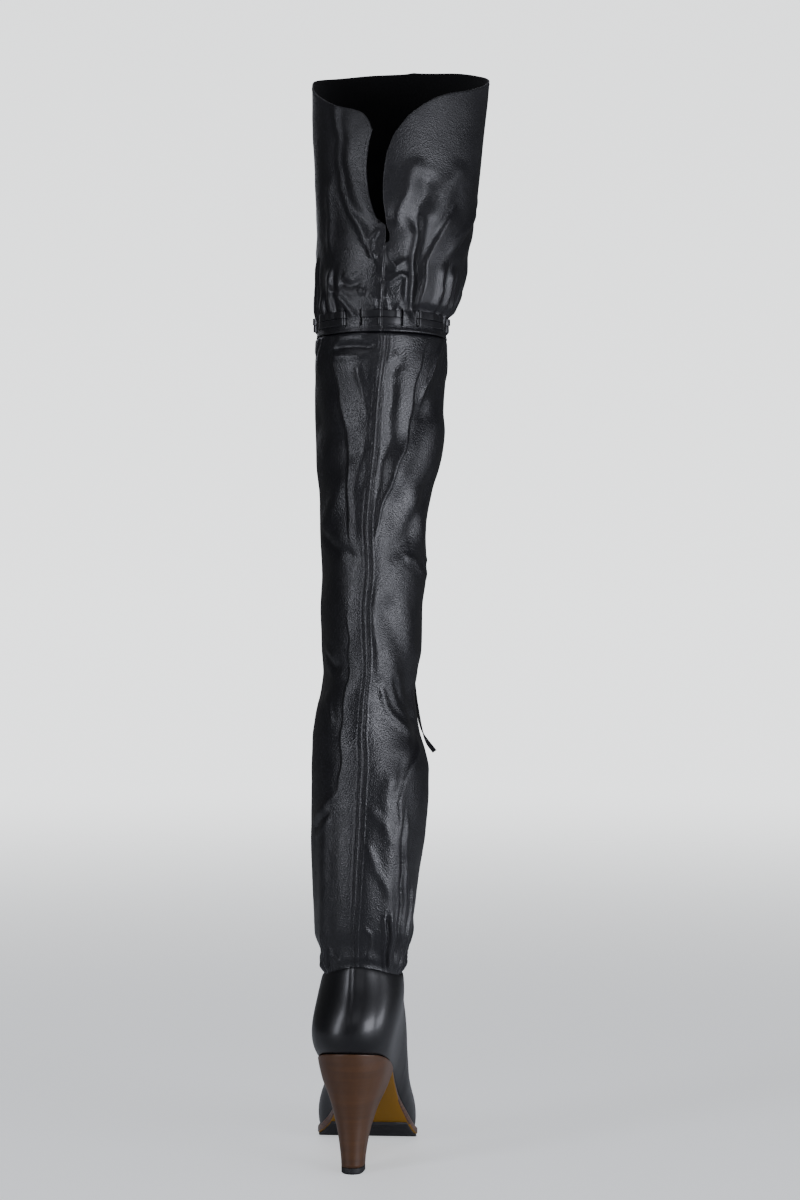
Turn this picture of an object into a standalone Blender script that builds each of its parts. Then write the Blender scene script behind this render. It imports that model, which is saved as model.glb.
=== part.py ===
"""Thigh high leather boot on a stacked high heel, right foot, standing empty on its sole.

Metres, +Z up, +Y towards the toe, +X towards the outer (lateral) side of the foot.
The origin is the middle of the heel's top piece, on the floor.
Angles round the leg start at the back seam, positive towards the lateral side.
"""
import math

import bmesh
import bpy
import numpy as np
from mathutils import Vector

LATERAL = 1
MEDIAL = -1

# Gaps: pieces that touch, sewn layers that lie in each other, and the lace in its slots
GAP = 0.0003
LAYER_GAP = 0.0005
LACE_GAP = 0.0004

# Foot
LAST_LENGTH = 0.227
HEEL_SETBACK = 0.022
BALL_WIDTH = 0.083
HEEL_HEIGHT = 0.0987
TOE_SPRING = 0.007
TOE_DEPTH = 0.0188
TOE_BOX_SETBACK = 0.013

# Sole pieces
OUTSOLE_THICKNESS = 0.0054
WAIST_THICKNESS = 0.0035
HALF_SOLE_THICKNESS = 0.002
HALF_SOLE_SHARE = 0.54
SOLE_MARGIN = 0.0012
SOLE_CHAMFER = 0.0007
INSOLE_THICKNESS = 0.0025
TOP_PIECE_THICKNESS = 0.005
HEEL_TIP_WIDTH = 0.0184
HEEL_TIP_LENGTH = 0.0193
HEEL_BREAST_SHARE = 0.29
BREAST_HOLLOW = 0.0015
HEEL_SEAT_MARGIN = 0.0004
WAIST_END_SHARE = 0.45
HALF_SOLE_INSET = 0.0008
INSOLE_CLEARANCE = 0.0008
TIP_CUT = 0.0004

# Upper
UPPER_WALL = 0.0018
COUNTER_HEIGHT = 0.067
SIDE_HEIGHT = 0.0548
THROAT_HEIGHT = 0.0553
ANKLE_WIDTH = 0.0664
ANKLE_DEPTH = 0.092
ANKLE_SETBACK = 0.014
ANKLE_OFFSET = 0.0048
UPPER_BULGE = 0.008

# Shaft
SHAFT_WALL = 0.0013
SHAFT_LENGTH = 0.523
CALF_WIDTH = 0.106
CALF_DEPTH = 0.132
SHAFT_TUCK = 0.006
SEAM_BAND = 0.006
SEAM_RISE = 0.0008
FOLD_DEPTH = 0.006

# Cuff
CUFF_WALL = 0.0014
CUFF_HEIGHT = 0.237
CUFF_OVERLAP = 0.005
CUFF_WIDTH = 0.146
CUFF_DEPTH = 0.156
NOTCH_SHARE = 0.29

# Lace
LACE_WIDTH = 0.0055
LACE_THICKNESS = 0.001
LACE_BARS = 7
LACE_BAR_ANGLE = 36.0
SLOT_WIDTH = 0.0042
SLOT_MARGIN = 0.0005
KNOT_WIDTH = 0.0094
KNOT_DEPTH = 0.007
KNOT_HEIGHT = 0.014
KNOT_ROUNDING = 0.0025

# How finely curved pieces are cut
RING_RIBS = 12
VAMP_RIBS = 12
UPPER_ROWS = 10
SHAFT_COLUMNS = 36
CUFF_STEP = 9.5
HEEL_SIDE_POINTS = 10
CURVE_STEPS = 10
STATION_SHARES = (0.015, 0.032, 0.055, 0.085, 0.12, 0.16, 0.20, 0.24, 0.28, 0.32, 0.36, 0.40, 0.44,
                  0.48, 0.51, 0.54, 0.56, 0.58, 0.60, 0.62, 0.64, 0.66, 0.68, 0.696, 0.734, 0.772,
                  0.811, 0.84, 0.868, 0.895, 0.92, 0.942, 0.960, 0.975, 0.987, 0.996)


def table(names, *rows):
    """One array for each named column of a small table."""
    return dict(zip(names.split(), np.array(rows, dtype=float).T))


# Line of the last's bottom: along the foot, share of the heel's rise, share of the toe spring
LAST_BOTTOM = table(
    "along heel toe",
    (0.000, 1.000, 0.00),
    (0.060, 0.968, 0.00),
    (0.141, 0.900, 0.00),
    (0.264, 0.783, 0.00),
    (0.361, 0.610, 0.00),
    (0.449, 0.416, 0.00),
    (0.537, 0.215, 0.00),
    (0.581, 0.121, 0.00),
    (0.626, 0.047, 0.00),
    (0.670, 0.008, 0.00),
    (0.696, 0.000, 0.00),
    (0.811, 0.000, 0.00),
    (0.868, 0.000, 0.14),
    (0.934, 0.000, 0.50),
    (1.000, 0.000, 1.00),
)

# Outline of the last's bottom: along the foot, half widths as shares of the ball width
OUTLINE = table(
    "along medial lateral",
    (0.031, 0.220, 0.205),
    (0.097, 0.328, 0.295),
    (0.141, 0.349, 0.322),
    (0.185, 0.343, 0.335),
    (0.273, 0.301, 0.345),
    (0.361, 0.253, 0.349),
    (0.449, 0.253, 0.373),
    (0.537, 0.325, 0.434),
    (0.604, 0.434, 0.482),
    (0.670, 0.494, 0.506),
    (0.758, 0.494, 0.446),
    (0.846, 0.410, 0.349),
    (0.912, 0.320, 0.258),
    (0.969, 0.190, 0.120),
)
TOE_TIP_SIDE = -0.036

# Ridge of the instep from the throat down to the toe: along its path, forward, height, sideways
INSTEP = table(
    "path forward height side",
    (0.000, 0.000, 1.000, 1.000),
    (0.100, 0.037, 0.861, 0.960),
    (0.215, 0.102, 0.714, 0.860),
    (0.348, 0.204, 0.551, 0.640),
    (0.490, 0.333, 0.388, 0.380),
    (0.626, 0.481, 0.249, 0.160),
    (0.756, 0.648, 0.143, 0.000),
    (0.872, 0.815, 0.073, -0.060),
    (0.954, 0.935, 0.029, -0.020),
    (1.000, 1.000, 0.000, 0.000),
)

# Ribs of the upper: place on the top path (0 to 1 round the ankle, 1 to 2 down the instep),
# place on the feather edge, how far the rib domes over, fullness, and the bulge of each side
RIBS = table(
    "top feather dome fullness lateral medial",
    (0.000, 0.000, 0.00, 1.00, 1.00, 1.00),
    (0.167, 0.070, 0.00, 1.00, 0.95, 1.00),
    (0.333, 0.155, 0.00, 1.00, 0.75, 0.90),
    (0.417, 0.205, 0.00, 1.00, 0.50, 0.85),
    (0.500, 0.262, 0.10, 1.00, 0.40, 0.85),
    (0.583, 0.325, 0.25, 1.00, 0.50, 0.85),
    (0.667, 0.375, 0.50, 1.00, 0.75, 0.80),
    (0.750, 0.405, 0.75, 0.98, 1.00, 0.75),
    (0.833, 0.428, 0.90, 0.96, 1.15, 0.72),
    (1.000, 0.450, 1.00, 0.95, 1.30, 0.70),
    (1.180, 0.496, 1.00, 0.94, 1.05, 0.62),
    (1.370, 0.550, 1.00, 0.92, 0.55, 0.50),
    (1.500, 0.600, 1.00, 0.90, 0.35, 0.45),
    (1.600, 0.650, 1.00, 0.88, 0.25, 0.40),
    (1.745, 0.730, 1.00, 0.84, 0.24, 0.35),
    (1.860, 0.810, 1.00, 0.80, 0.22, 0.30),
    (1.925, 0.870, 1.00, 0.76, 0.20, 0.25),
    (1.970, 0.940, 1.00, 0.72, 0.18, 0.18),
    (2.000, 1.000, 1.00, 0.70, 0.15, 0.15),
)

# Sections of the shaft: height share, half width, half depth, middle and seam across the calf
# as shares of its size, and the middle from back to front
SHAFT = table(
    "height width depth across middle seam",
    (0.010, 0.622, 0.690, 0.048, 0.288, -0.031),
    (0.031, 0.640, 0.720, 0.048, 0.295, -0.031),
    (0.063, 0.745, 0.790, 0.047, 0.303, -0.028),
    (0.094, 0.766, 0.830, 0.050, 0.311, -0.022),
    (0.126, 0.790, 0.860, 0.053, 0.318, -0.015),
    (0.157, 0.820, 0.885, 0.060, 0.326, -0.016),
    (0.220, 0.883, 0.930, 0.080, 0.348, -0.020),
    (0.283, 0.906, 0.965, 0.089, 0.364, -0.016),
    (0.315, 0.905, 0.970, 0.088, 0.371, -0.004),
    (0.346, 0.868, 0.960, 0.076, 0.375, 0.010),
    (0.377, 0.820, 0.950, 0.060, 0.379, 0.020),
    (0.407, 0.774, 0.950, 0.059, 0.383, 0.030),
    (0.440, 0.720, 0.955, 0.070, 0.386, 0.032),
    (0.470, 0.716, 0.965, 0.095, 0.386, 0.024),
    (0.503, 0.758, 0.975, 0.104, 0.390, 0.014),
    (0.564, 0.789, 0.985, 0.103, 0.394, 0.004),
    (0.627, 0.806, 0.995, 0.124, 0.402, 0.009),
    (0.690, 0.822, 1.000, 0.111, 0.405, 0.011),
    (0.753, 0.883, 1.000, 0.132, 0.409, 0.014),
    (0.784, 0.945, 1.000, 0.147, 0.413, 0.015),
    (0.816, 0.990, 1.000, 0.162, 0.417, 0.018),
    (0.850, 1.010, 1.000, 0.166, 0.417, 0.025),
    (0.878, 0.998, 1.000, 0.160, 0.417, 0.040),
    (0.941, 1.004, 1.000, 0.170, 0.417, 0.066),
    (0.970, 0.998, 0.995, 0.174, 0.420, 0.080),
)
SHAFT_LEVELS = (0.010, 0.031, 0.063, 0.110, 0.157, 0.220, 0.283, 0.330, 0.377, 0.440, 0.500, 0.564,
                0.627, 0.690, 0.735, 0.784, 0.816, 0.850, 0.900, 0.941, 0.970)

# Main folds of the slouched leg: ends of the line as angle and height share, reach, depth
FOLDS = table(
    "angle_a height_a angle_b height_b reach depth",
    (-70, 0.955, -12, 0.930, 0.13, 0.45),
    (62, 0.900, 6, 0.800, 0.13, -0.55),
    (-70, 0.850, -14, 0.800, 0.12, -0.50),
    (-60, 0.690, -8, 0.800, 0.10, 0.40),
    (12, 0.800, 70, 0.690, 0.11, 0.45),
    (25, 0.560, 80, 0.380, 0.12, -0.55),
    (-85, 0.440, -25, 0.470, 0.12, -0.40),
    (30, 0.300, 42, 0.040, 0.10, 0.55),
    (-40, 0.250, -45, 0.040, 0.09, 0.35),
    (120, 0.060, 120, 0.260, 0.12, -0.50),
    (180, 0.050, 180, 0.130, 0.18, -0.60),
    (150, 0.200, 210, 0.180, 0.12, 0.45),
    (130, 0.480, 215, 0.440, 0.14, -0.45),
    (140, 0.760, 230, 0.800, 0.14, -0.45),
)

# Sections of the cuff: height share, half width and half depth as shares of its size,
# middle across and from back to front, seam, and how pointed its sides are
CUFF = table(
    "height width depth across middle seam point",
    (0.000, 0.736, 0.868, 0.128, 0.363, 0.034, 1.00),
    (0.020, 0.724, 0.854, 0.128, 0.363, 0.034, 1.00),
    (0.073, 0.724, 0.854, 0.128, 0.363, 0.034, 1.00),
    (0.101, 0.768, 0.876, 0.145, 0.365, 0.020, 1.00),
    (0.200, 0.828, 0.905, 0.170, 0.372, 0.006, 1.03),
    (0.290, 0.858, 0.923, 0.181, 0.377, 0.000, 1.06),
    (0.498, 0.925, 0.955, 0.204, 0.385, -0.020, 1.12),
    (0.720, 0.970, 0.985, 0.220, 0.392, -0.035, 1.18),
    (0.878, 1.000, 1.000, 0.234, 0.397, -0.045, 1.22),
    (1.000, 1.010, 1.000, 0.240, 0.400, -0.050, 1.24),
)

# Upper rim of the cuff: angle from the seam, height share on each side
RIM = table(
    "angle lateral medial",
    (0, 0.595, 0.690),
    (8, 0.660, 0.700),
    (20, 0.726, 0.735),
    (42, 0.797, 0.776),
    (66, 0.835, 0.840),
    (90, 0.882, 0.911),
    (120, 0.941, 0.954),
    (150, 0.983, 0.987),
    (180, 1.000, 1.000),
)

# Edges of the slit in the cuff's back: share of the way up, offset across as a share of its width
SLIT = table(
    "rise lateral medial",
    (0.00, 0.000, 0.000),
    (0.04, 0.036, 0.008),
    (0.11, 0.038, 0.008),
    (0.16, 0.024, 0.002),
    (0.21, 0.012, -0.055),
    (0.34, -0.004, -0.096),
    (0.50, -0.020, -0.124),
    (0.68, -0.023, -0.137),
    (0.84, -0.015, -0.128),
    (1.00, 0.003, -0.102),
)
SLIT_RISES = (0.0, 0.07, 0.17, 0.30, 0.50, 0.75, 1.0)

# Heel block from tip to seat: rise share, width, back and breast shares of the way out to the seat
HEEL = table(
    "rise width back breast",
    (0.000, 0.000, 0.000, 0.000),
    (0.085, 0.015, 0.020, 0.012),
    (0.226, 0.086, 0.070, 0.024),
    (0.380, 0.187, 0.150, 0.080),
    (0.520, 0.338, 0.300, 0.140),
    (0.660, 0.490, 0.470, 0.255),
    (0.800, 0.770, 0.700, 0.455),
    (0.880, 0.870, 0.830, 0.655),
    (0.930, 0.940, 0.910, 0.840),
    (0.965, 0.980, 0.960, 0.980),
    (1.000, 1.000, 1.000, 1.000),
)

# Routes of the lace's two hanging ends, chosen by hand, in millimetres
LATERAL_END = (
    (16.8, 127.3, 675.1), (17.6, 126.6, 655.0), (19.5, 125.4, 630.0), (22.0, 124.2, 600.0),
    (25.0, 121.8, 570.0), (27.5, 118.6, 540.0), (30.0, 115.6, 510.0), (33.0, 112.4, 480.0),
    (36.0, 108.6, 450.0), (38.5, 103.6, 420.0), (41.5, 97.6, 395.0), (45.0, 91.6, 370.0),
    (49.5, 86.8, 350.0), (54.5, 84.6, 339.5), (60.5, 84.0, 331.5),
)
MEDIAL_END = (
    (10.7, 127.3, 675.1), (10.2, 126.9, 650.0), (9.5, 126.4, 620.0), (8.5, 125.8, 590.0),
    (7.5, 124.6, 560.0), (6.5, 123.6, 530.0), (5.0, 122.8, 500.0), (3.5, 121.8, 470.0),
    (2.5, 120.6, 440.0), (2.0, 119.4, 410.0), (2.0, 118.6, 385.0), (2.5, 118.2, 360.0),
)

# Values worked out from the sizes
FOREFOOT_STACK = HALF_SOLE_THICKNESS + OUTSOLE_THICKNESS + 2 * GAP
ANKLE_MIDDLE = ANKLE_SETBACK - HEEL_SETBACK + ANKLE_DEPTH / 2
SHAFT_BASE = HEEL_HEIGHT + SIDE_HEIGHT
SHAFT_TOP = SHAFT_BASE + SHAFT_LENGTH
CUFF_BASE = SHAFT_TOP - CUFF_OVERLAP
SLOT_HEIGHT = 2 * LACE_WIDTH + GAP + 2 * SLOT_MARGIN
LACE_BASE = SHAFT_TOP + LACE_GAP
LACE_MIDDLE = LACE_BASE + LACE_WIDTH + GAP / 2
NOTCH_HEIGHT = CUFF_BASE + NOTCH_SHARE * CUFF_HEIGHT
BAR_PITCH = 360.0 / LACE_BARS
SLOT_ANGLE = math.degrees(2 * SLOT_WIDTH / (CALF_WIDTH + CALF_DEPTH))
BREAST_Y = HEEL_BREAST_SHARE * LAST_LENGTH - HEEL_SETBACK


def smooth(xs, ys, x):
    """Smooth curve through a column that never overshoots its rows."""
    x = min(max(x, xs[0]), xs[-1])
    step = np.diff(xs)
    rise = np.diff(ys) / step
    slopes = np.zeros(len(xs))
    slopes[0], slopes[-1] = rise[0], rise[-1]
    for i in range(1, len(xs) - 1):
        if rise[i - 1] * rise[i] > 0:
            slopes[i] = 2 * rise[i - 1] * rise[i] / (rise[i - 1] + rise[i])
    i = int(min(np.searchsorted(xs, x, side="right") - 1, len(step) - 1))
    t = (x - xs[i]) / step[i]
    start = (1 + 2 * t) * (1 - t) ** 2 * ys[i] + t * (1 - t) ** 2 * step[i] * slopes[i]
    end = t * t * (3 - 2 * t) * ys[i + 1] + t * t * (t - 1) * step[i] * slopes[i + 1]
    return float(start + end)


def mix(a, b, share):
    """Value part of the way from a to b."""
    return a + (b - a) * share


def closed_curve(points):
    """Round curve through the points and back to the first."""
    count = len(points)
    curve = []
    for i in range(count):
        p = [np.array(points[(i + k - 1) % count]) for k in range(4)]
        t = [0.0]
        for k in range(3):
            t.append(t[-1] + math.sqrt(np.linalg.norm(p[k + 1] - p[k])))
        for k in range(CURVE_STEPS):
            s = mix(t[1], t[2], k / CURVE_STEPS)
            a = [mix(p[j], p[j + 1], (s - t[j]) / (t[j + 1] - t[j])) for j in range(3)]
            b = [mix(a[j], a[j + 1], (s - t[j]) / (t[j + 2] - t[j])) for j in range(2)]
            curve.append(mix(b[0], b[1], (s - t[1]) / (t[2] - t[1])))
    return np.array(curve)


def last_outline():
    """Bottom outline of the last with its outward directions, from the heel round the lateral side."""
    along = OUTLINE["along"] * LAST_LENGTH - HEEL_SETBACK
    lateral = [(w * BALL_WIDTH, y) for w, y in zip(OUTLINE["lateral"], along)]
    medial = [(-w * BALL_WIDTH, y) for w, y in zip(OUTLINE["medial"], along)]
    toe = (TOE_TIP_SIDE * BALL_WIDTH, LAST_LENGTH - HEEL_SETBACK)
    curve = closed_curve([(0.0, -HEEL_SETBACK)] + lateral + [toe] + medial[::-1])
    tangent = np.roll(curve, -1, axis=0) - np.roll(curve, 1, axis=0)
    normal = np.column_stack([tangent[:, 1], -tangent[:, 0]])
    normal /= np.linalg.norm(normal, axis=1)[:, None]
    return curve, normal


OUTLINE_CURVE, OUTLINE_NORMAL = last_outline()
TOE_INDEX = (len(OUTLINE["along"]) + 1) * CURVE_STEPS


def outline_side(side, margin=0.0):
    """One side of the outline from heel to toe, moved out by a margin, with its directions."""
    curve = OUTLINE_CURVE + OUTLINE_NORMAL * margin
    if side == LATERAL:
        index = list(range(TOE_INDEX + 1))
    else:
        index = [0] + list(range(len(curve) - 1, TOE_INDEX - 1, -1))
    return curve[index], OUTLINE_NORMAL[index]


def along_side(side, share):
    """Point and outward direction at a share of the way from heel to toe along one side."""
    curve, normal = outline_side(side)
    run = np.concatenate([[0.0], np.cumsum(np.linalg.norm(np.diff(curve, axis=0), axis=1))])
    place = share * run[-1]
    point = [np.interp(place, run, curve[:, k]) for k in range(2)]
    out = Vector([np.interp(place, run, normal[:, k]) for k in range(2)] + [0.0])
    return point, out.normalized()


def edge_x(side, y, margin):
    """Half outline at one place along the foot."""
    curve, _ = outline_side(side, margin)
    return float(np.interp(y, curve[:, 1], curve[:, 0]))


def last_z(y):
    """Height of the last's bottom above the floor."""
    along = (y + HEEL_SETBACK) / LAST_LENGTH
    heel = smooth(LAST_BOTTOM["along"], LAST_BOTTOM["heel"], along)
    toe = smooth(LAST_BOTTOM["along"], LAST_BOTTOM["toe"], along)
    return FOREFOOT_STACK + heel * (HEEL_HEIGHT - FOREFOOT_STACK) + toe * TOE_SPRING


def upright(y, thickness):
    """Thickness measured upright of a layer that lies along the last's slope."""
    reach = 0.001
    slope = (last_z(y + reach) - last_z(y - reach)) / (2 * reach)
    return thickness * math.sqrt(1 + slope * slope)


def topline(angle):
    """Height of the upper's top line round the ankle."""
    cosine = math.cos(math.radians(angle))
    end = COUNTER_HEIGHT if cosine > 0 else THROAT_HEIGHT
    return HEEL_HEIGHT + mix(SIDE_HEIGHT, end, cosine * cosine)


def ankle_point(angle, inset=0.0):
    """Point of the upper's top line."""
    turn = math.radians(angle)
    return Vector((
        ANKLE_OFFSET + (ANKLE_WIDTH / 2 - inset) * math.sin(turn),
        ANKLE_MIDDLE - (ANKLE_DEPTH / 2 - inset) * math.cos(turn),
        topline(angle),
    ))


def instep_point(path):
    """Point of the instep's ridge, from the throat (0) to the toe (1)."""
    throat = ankle_point(180)
    toe_y = LAST_LENGTH - HEEL_SETBACK - TOE_BOX_SETBACK
    toe = Vector((TOE_TIP_SIDE * BALL_WIDTH, toe_y, last_z(toe_y) + TOE_DEPTH))
    return Vector((
        mix(toe.x, throat.x, smooth(INSTEP["path"], INSTEP["side"], path)),
        mix(throat.y, toe.y, smooth(INSTEP["path"], INSTEP["forward"], path)),
        mix(toe.z, throat.z, smooth(INSTEP["path"], INSTEP["height"], path)),
    ))


def upper_point(side, path, rise):
    """Point of the upper's outer face on one rib, from the feather edge (0) to its top (1)."""
    rib = {name: smooth(RIBS["top"], RIBS[name], path) for name in RIBS}
    (x, y), out = along_side(side, rib["feather"])
    foot = Vector((x, y, last_z(y)))
    top = ankle_point(side * 180 * path) if path <= 1 else instep_point(path - 1)
    turn = rise * math.pi / 2
    eased = rise ** 3 * (6 * rise * rise - 15 * rise + 10)
    inward = mix(eased, 1 - math.cos(turn) ** rib["fullness"], rib["dome"])
    upward = mix(rise, math.sin(turn) ** rib["fullness"], rib["dome"])
    if rise == 1:
        inward, upward = 1.0, 1.0
    bulge = UPPER_BULGE * rib["lateral" if side == LATERAL else "medial"]
    point = Vector((mix(foot.x, top.x, inward), mix(foot.y, top.y, inward), mix(foot.z, top.z, upward)))
    return point + out * bulge * math.sin(math.pi * rise ** 0.75)


def oval(section, angle, inset=0.0):
    """Point round an oval section, its angle counted from the seam."""
    half_width, half_depth, across, middle, seam, point = section
    turn = math.radians(angle) + math.asin(seam / half_width)
    sine = math.copysign(abs(math.sin(turn)) ** point, math.sin(turn))
    return (across + (half_width - inset) * sine, middle - (half_depth - inset) * math.cos(turn))


def shaft_section(height):
    """Half sizes, middle and seam of the shaft at a height share."""
    at = {name: smooth(SHAFT["height"], SHAFT[name], height) for name in SHAFT}
    return (at["width"] * CALF_WIDTH / 2, at["depth"] * CALF_DEPTH / 2, at["across"] * CALF_WIDTH,
            at["middle"] * CALF_DEPTH, at["seam"] * CALF_WIDTH, 1.0)


def cuff_section(height):
    """Half sizes, middle and seam of the cuff at a height share."""
    at = {name: smooth(CUFF["height"], CUFF[name], height) for name in CUFF}
    return (at["width"] * CUFF_WIDTH / 2, at["depth"] * CUFF_DEPTH / 2, at["across"] * CUFF_WIDTH,
            at["middle"] * CUFF_DEPTH, at["seam"] * CUFF_WIDTH, at["point"])


def fold_offset(angle, height):
    """How far the main folds push the leather out or in."""
    total = 0.0
    radius = (CALF_WIDTH + CALF_DEPTH) / 4
    for i in range(len(FOLDS["angle_a"])):
        row = {name: FOLDS[name][i] for name in FOLDS}
        turn = (angle - row["angle_a"] + 180) % 360 - 180 + row["angle_a"]
        place = np.array([math.radians(turn) * radius, height * SHAFT_LENGTH])
        start = np.array([math.radians(row["angle_a"]) * radius, row["height_a"] * SHAFT_LENGTH])
        end = np.array([math.radians(row["angle_b"]) * radius, row["height_b"] * SHAFT_LENGTH])
        share = np.dot(place - start, end - start) / np.dot(end - start, end - start)
        away = np.linalg.norm(place - mix(start, end, min(max(share, 0.0), 1.0)))
        total += row["depth"] * math.exp(-(away / (row["reach"] * CALF_WIDTH)) ** 2)
    return total * FOLD_DEPTH


def mesh_object(name, bm, material):
    """Turn a bmesh into a named object with its material."""
    mesh = bpy.data.meshes.new(name)
    bm.to_mesh(mesh)
    bm.free()
    mesh.materials.append(material)
    mesh.shade_smooth()
    mesh.set_sharp_from_angle(angle=math.radians(40))
    piece = bpy.data.objects.new(name, mesh)
    bpy.context.collection.objects.link(piece)
    return piece


def give_wall(piece, wall):
    """Thicken a sheet inwards, with rims along its open edges."""
    solid = piece.modifiers.new("Wall", "SOLIDIFY")
    solid.thickness = wall
    solid.offset = -1
    solid.use_rim = True


def skin(rings, capped=True):
    """Bmesh skin over rings of the same number of points, closed by flat ends."""
    bm = bmesh.new()
    grid = [[bm.verts.new(p) for p in ring] for ring in rings]
    count = len(grid[0])
    for low, high in zip(grid, grid[1:]):
        for i in range(count):
            j = (i + 1) % count
            bm.faces.new((low[i], low[j], high[j], high[i]))
    if capped:
        bm.faces.new(grid[0][::-1])
        bm.faces.new(grid[-1])
    return bm


def leather(name, colour, roughness, coat=0.0):
    """Plain Principled material of one finish."""
    material = bpy.data.materials.new(name)
    material.use_nodes = True
    shader = material.node_tree.nodes["Principled BSDF"]
    shader.inputs["Base Color"].default_value = (*colour, 1.0)
    shader.inputs["Roughness"].default_value = roughness
    shader.inputs["Metallic"].default_value = 0.0
    shader.inputs["Coat Weight"].default_value = coat
    return material


def make_upper(material):
    """Hollow foot part, open at the ankle and underneath."""
    throat = smooth(RIBS["top"], RIBS["feather"], 1.0)
    feathers = [mix(throat, 1.0, i / VAMP_RIBS) for i in range(1, VAMP_RIBS)]
    paths = [i / RING_RIBS for i in range(RING_RIBS + 1)]
    paths += [smooth(RIBS["feather"], RIBS["top"], f) for f in feathers] + [2.0]
    ribs = [(LATERAL, p) for p in paths] + [(MEDIAL, p) for p in paths[-2:0:-1]]
    rings = []
    for row in range(UPPER_ROWS + 1):
        rings.append([upper_point(side, p, row / UPPER_ROWS) for side, p in ribs])
    bm = skin(rings, capped=False)
    bmesh.ops.remove_doubles(bm, verts=bm.verts, dist=1e-6)
    give_wall(mesh_object("upper", bm, material), UPPER_WALL)


def shaft_angles():
    """Angles of the shaft's columns: even, with the seam's band marked by a column each side."""
    band = math.degrees(4 * SEAM_BAND / (CALF_WIDTH + CALF_DEPTH))
    even = [360.0 * i / SHAFT_COLUMNS for i in range(1, SHAFT_COLUMNS)]
    return [0.0, band] + even + [360.0 - band]


def shaft_ring(level):
    """One ring of the shaft; its lowest rings follow the ankle's top line."""
    section = shaft_section(level)
    seam_turn = math.degrees(math.asin(section[4] / section[0]))
    follow = smooth(np.array([0.0, 0.22]), np.array([1.0, 0.0]), level)
    ring = []
    for angle in shaft_angles():
        x, y = oval(section, angle)
        out = Vector((x - section[2], y - section[3], 0.0)).normalized()
        push = fold_offset(angle, level) + (SEAM_RISE if angle == 0.0 else 0.0)
        z = SHAFT_BASE + level * SHAFT_LENGTH + follow * (topline(angle + seam_turn) - SHAFT_BASE)
        ring.append(Vector((x, y, z)) + out * push)
    return ring


def make_shaft(material):
    """Soft leg, tucked into the upper below and into the cuff above."""
    base = shaft_section(SHAFT_LEVELS[0])
    seam_turn = math.degrees(math.asin(base[4] / base[0]))
    angles = shaft_angles()
    inset = UPPER_WALL + LAYER_GAP
    rings = []
    for lift in (-SHAFT_TUCK, 2 * LAYER_GAP):
        rings.append([ankle_point(a + seam_turn, inset) + Vector((0, 0, lift)) for a in angles])
    rings += [shaft_ring(level) for level in SHAFT_LEVELS]
    inset = CUFF_WALL + LAYER_GAP
    for height in (CUFF_BASE - CUFF_OVERLAP / 2, SHAFT_TOP):
        ring = [oval(lace_section(), a, inset) for a in angles]
        rings.append([Vector((x, y, height)) for x, y in ring])
    bm = skin(rings, capped=False)
    give_wall(mesh_object("shaft", bm, material), SHAFT_WALL)


def lace_section():
    """Section of the cuff where the lace draws it in."""
    return cuff_section((LACE_MIDDLE - CUFF_BASE) / CUFF_HEIGHT)


def slot_middles():
    """Angles of the lace's slots on one side; the last bar runs on to the knot in front."""
    middles = [LACE_BAR_ANGLE / 2]
    for bar in range(1, LACE_BARS // 2 + 1):
        middles += [bar * BAR_PITCH - LACE_BAR_ANGLE / 2, bar * BAR_PITCH + LACE_BAR_ANGLE / 2]
    return middles[:-1]


def cuff_columns():
    """Angles of the cuff's columns on one side, and which of the strips between them are slots."""
    edges = [0.0]
    slots = set()
    for middle in slot_middles() + [None]:
        goal = 180.0 if middle is None else middle - SLOT_ANGLE / 2
        steps = math.ceil((goal - edges[-1]) / CUFF_STEP)
        start = edges[-1]
        edges += [mix(start, goal, i / steps) for i in range(1, steps + 1)]
        if middle is not None:
            slots.add(len(edges) - 1)
            edges.append(middle + SLOT_ANGLE / 2)
    return edges, slots


def cuff_low_rows():
    """Heights of the cuff's rows from its hem to the notch of the slit."""
    slot_low = LACE_BASE - SLOT_MARGIN
    slot_high = slot_low + SLOT_HEIGHT
    return [CUFF_BASE, slot_low, slot_high, mix(slot_high, NOTCH_HEIGHT, 0.4), NOTCH_HEIGHT]


def cuff_point(side, column, row):
    """Point of the cuff's outer face; above the notch its columns lean with the slit's edge."""
    low = cuff_low_rows()
    if row < len(low):
        z = low[row]
        angle = column
        section = lace_section() if row in (1, 2) else cuff_section((z - CUFF_BASE) / CUFF_HEIGHT)
    else:
        rise = SLIT_RISES[row - len(low) + 1]
        name = "lateral" if side == LATERAL else "medial"
        rim_angle = slit_angle(side, name, 1.0, column)
        rim = CUFF_BASE + CUFF_HEIGHT * smooth(RIM["angle"], RIM[name], rim_angle)
        z = mix(NOTCH_HEIGHT, rim, rise)
        angle = slit_angle(side, name, rise, column)
        section = cuff_section((z - CUFF_BASE) / CUFF_HEIGHT)
    x, y = oval(section, side * angle)
    return Vector((x, y, z))


def slit_angle(side, name, rise, column):
    """Angle of a cuff column above the notch, between the slit's edge and the front."""
    offset = side * smooth(SLIT["rise"], SLIT[name], rise) * CUFF_WIDTH
    edge = math.degrees(math.asin(offset / (CUFF_WIDTH / 2)))
    return mix(edge, 180.0, column / 180.0)


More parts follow.
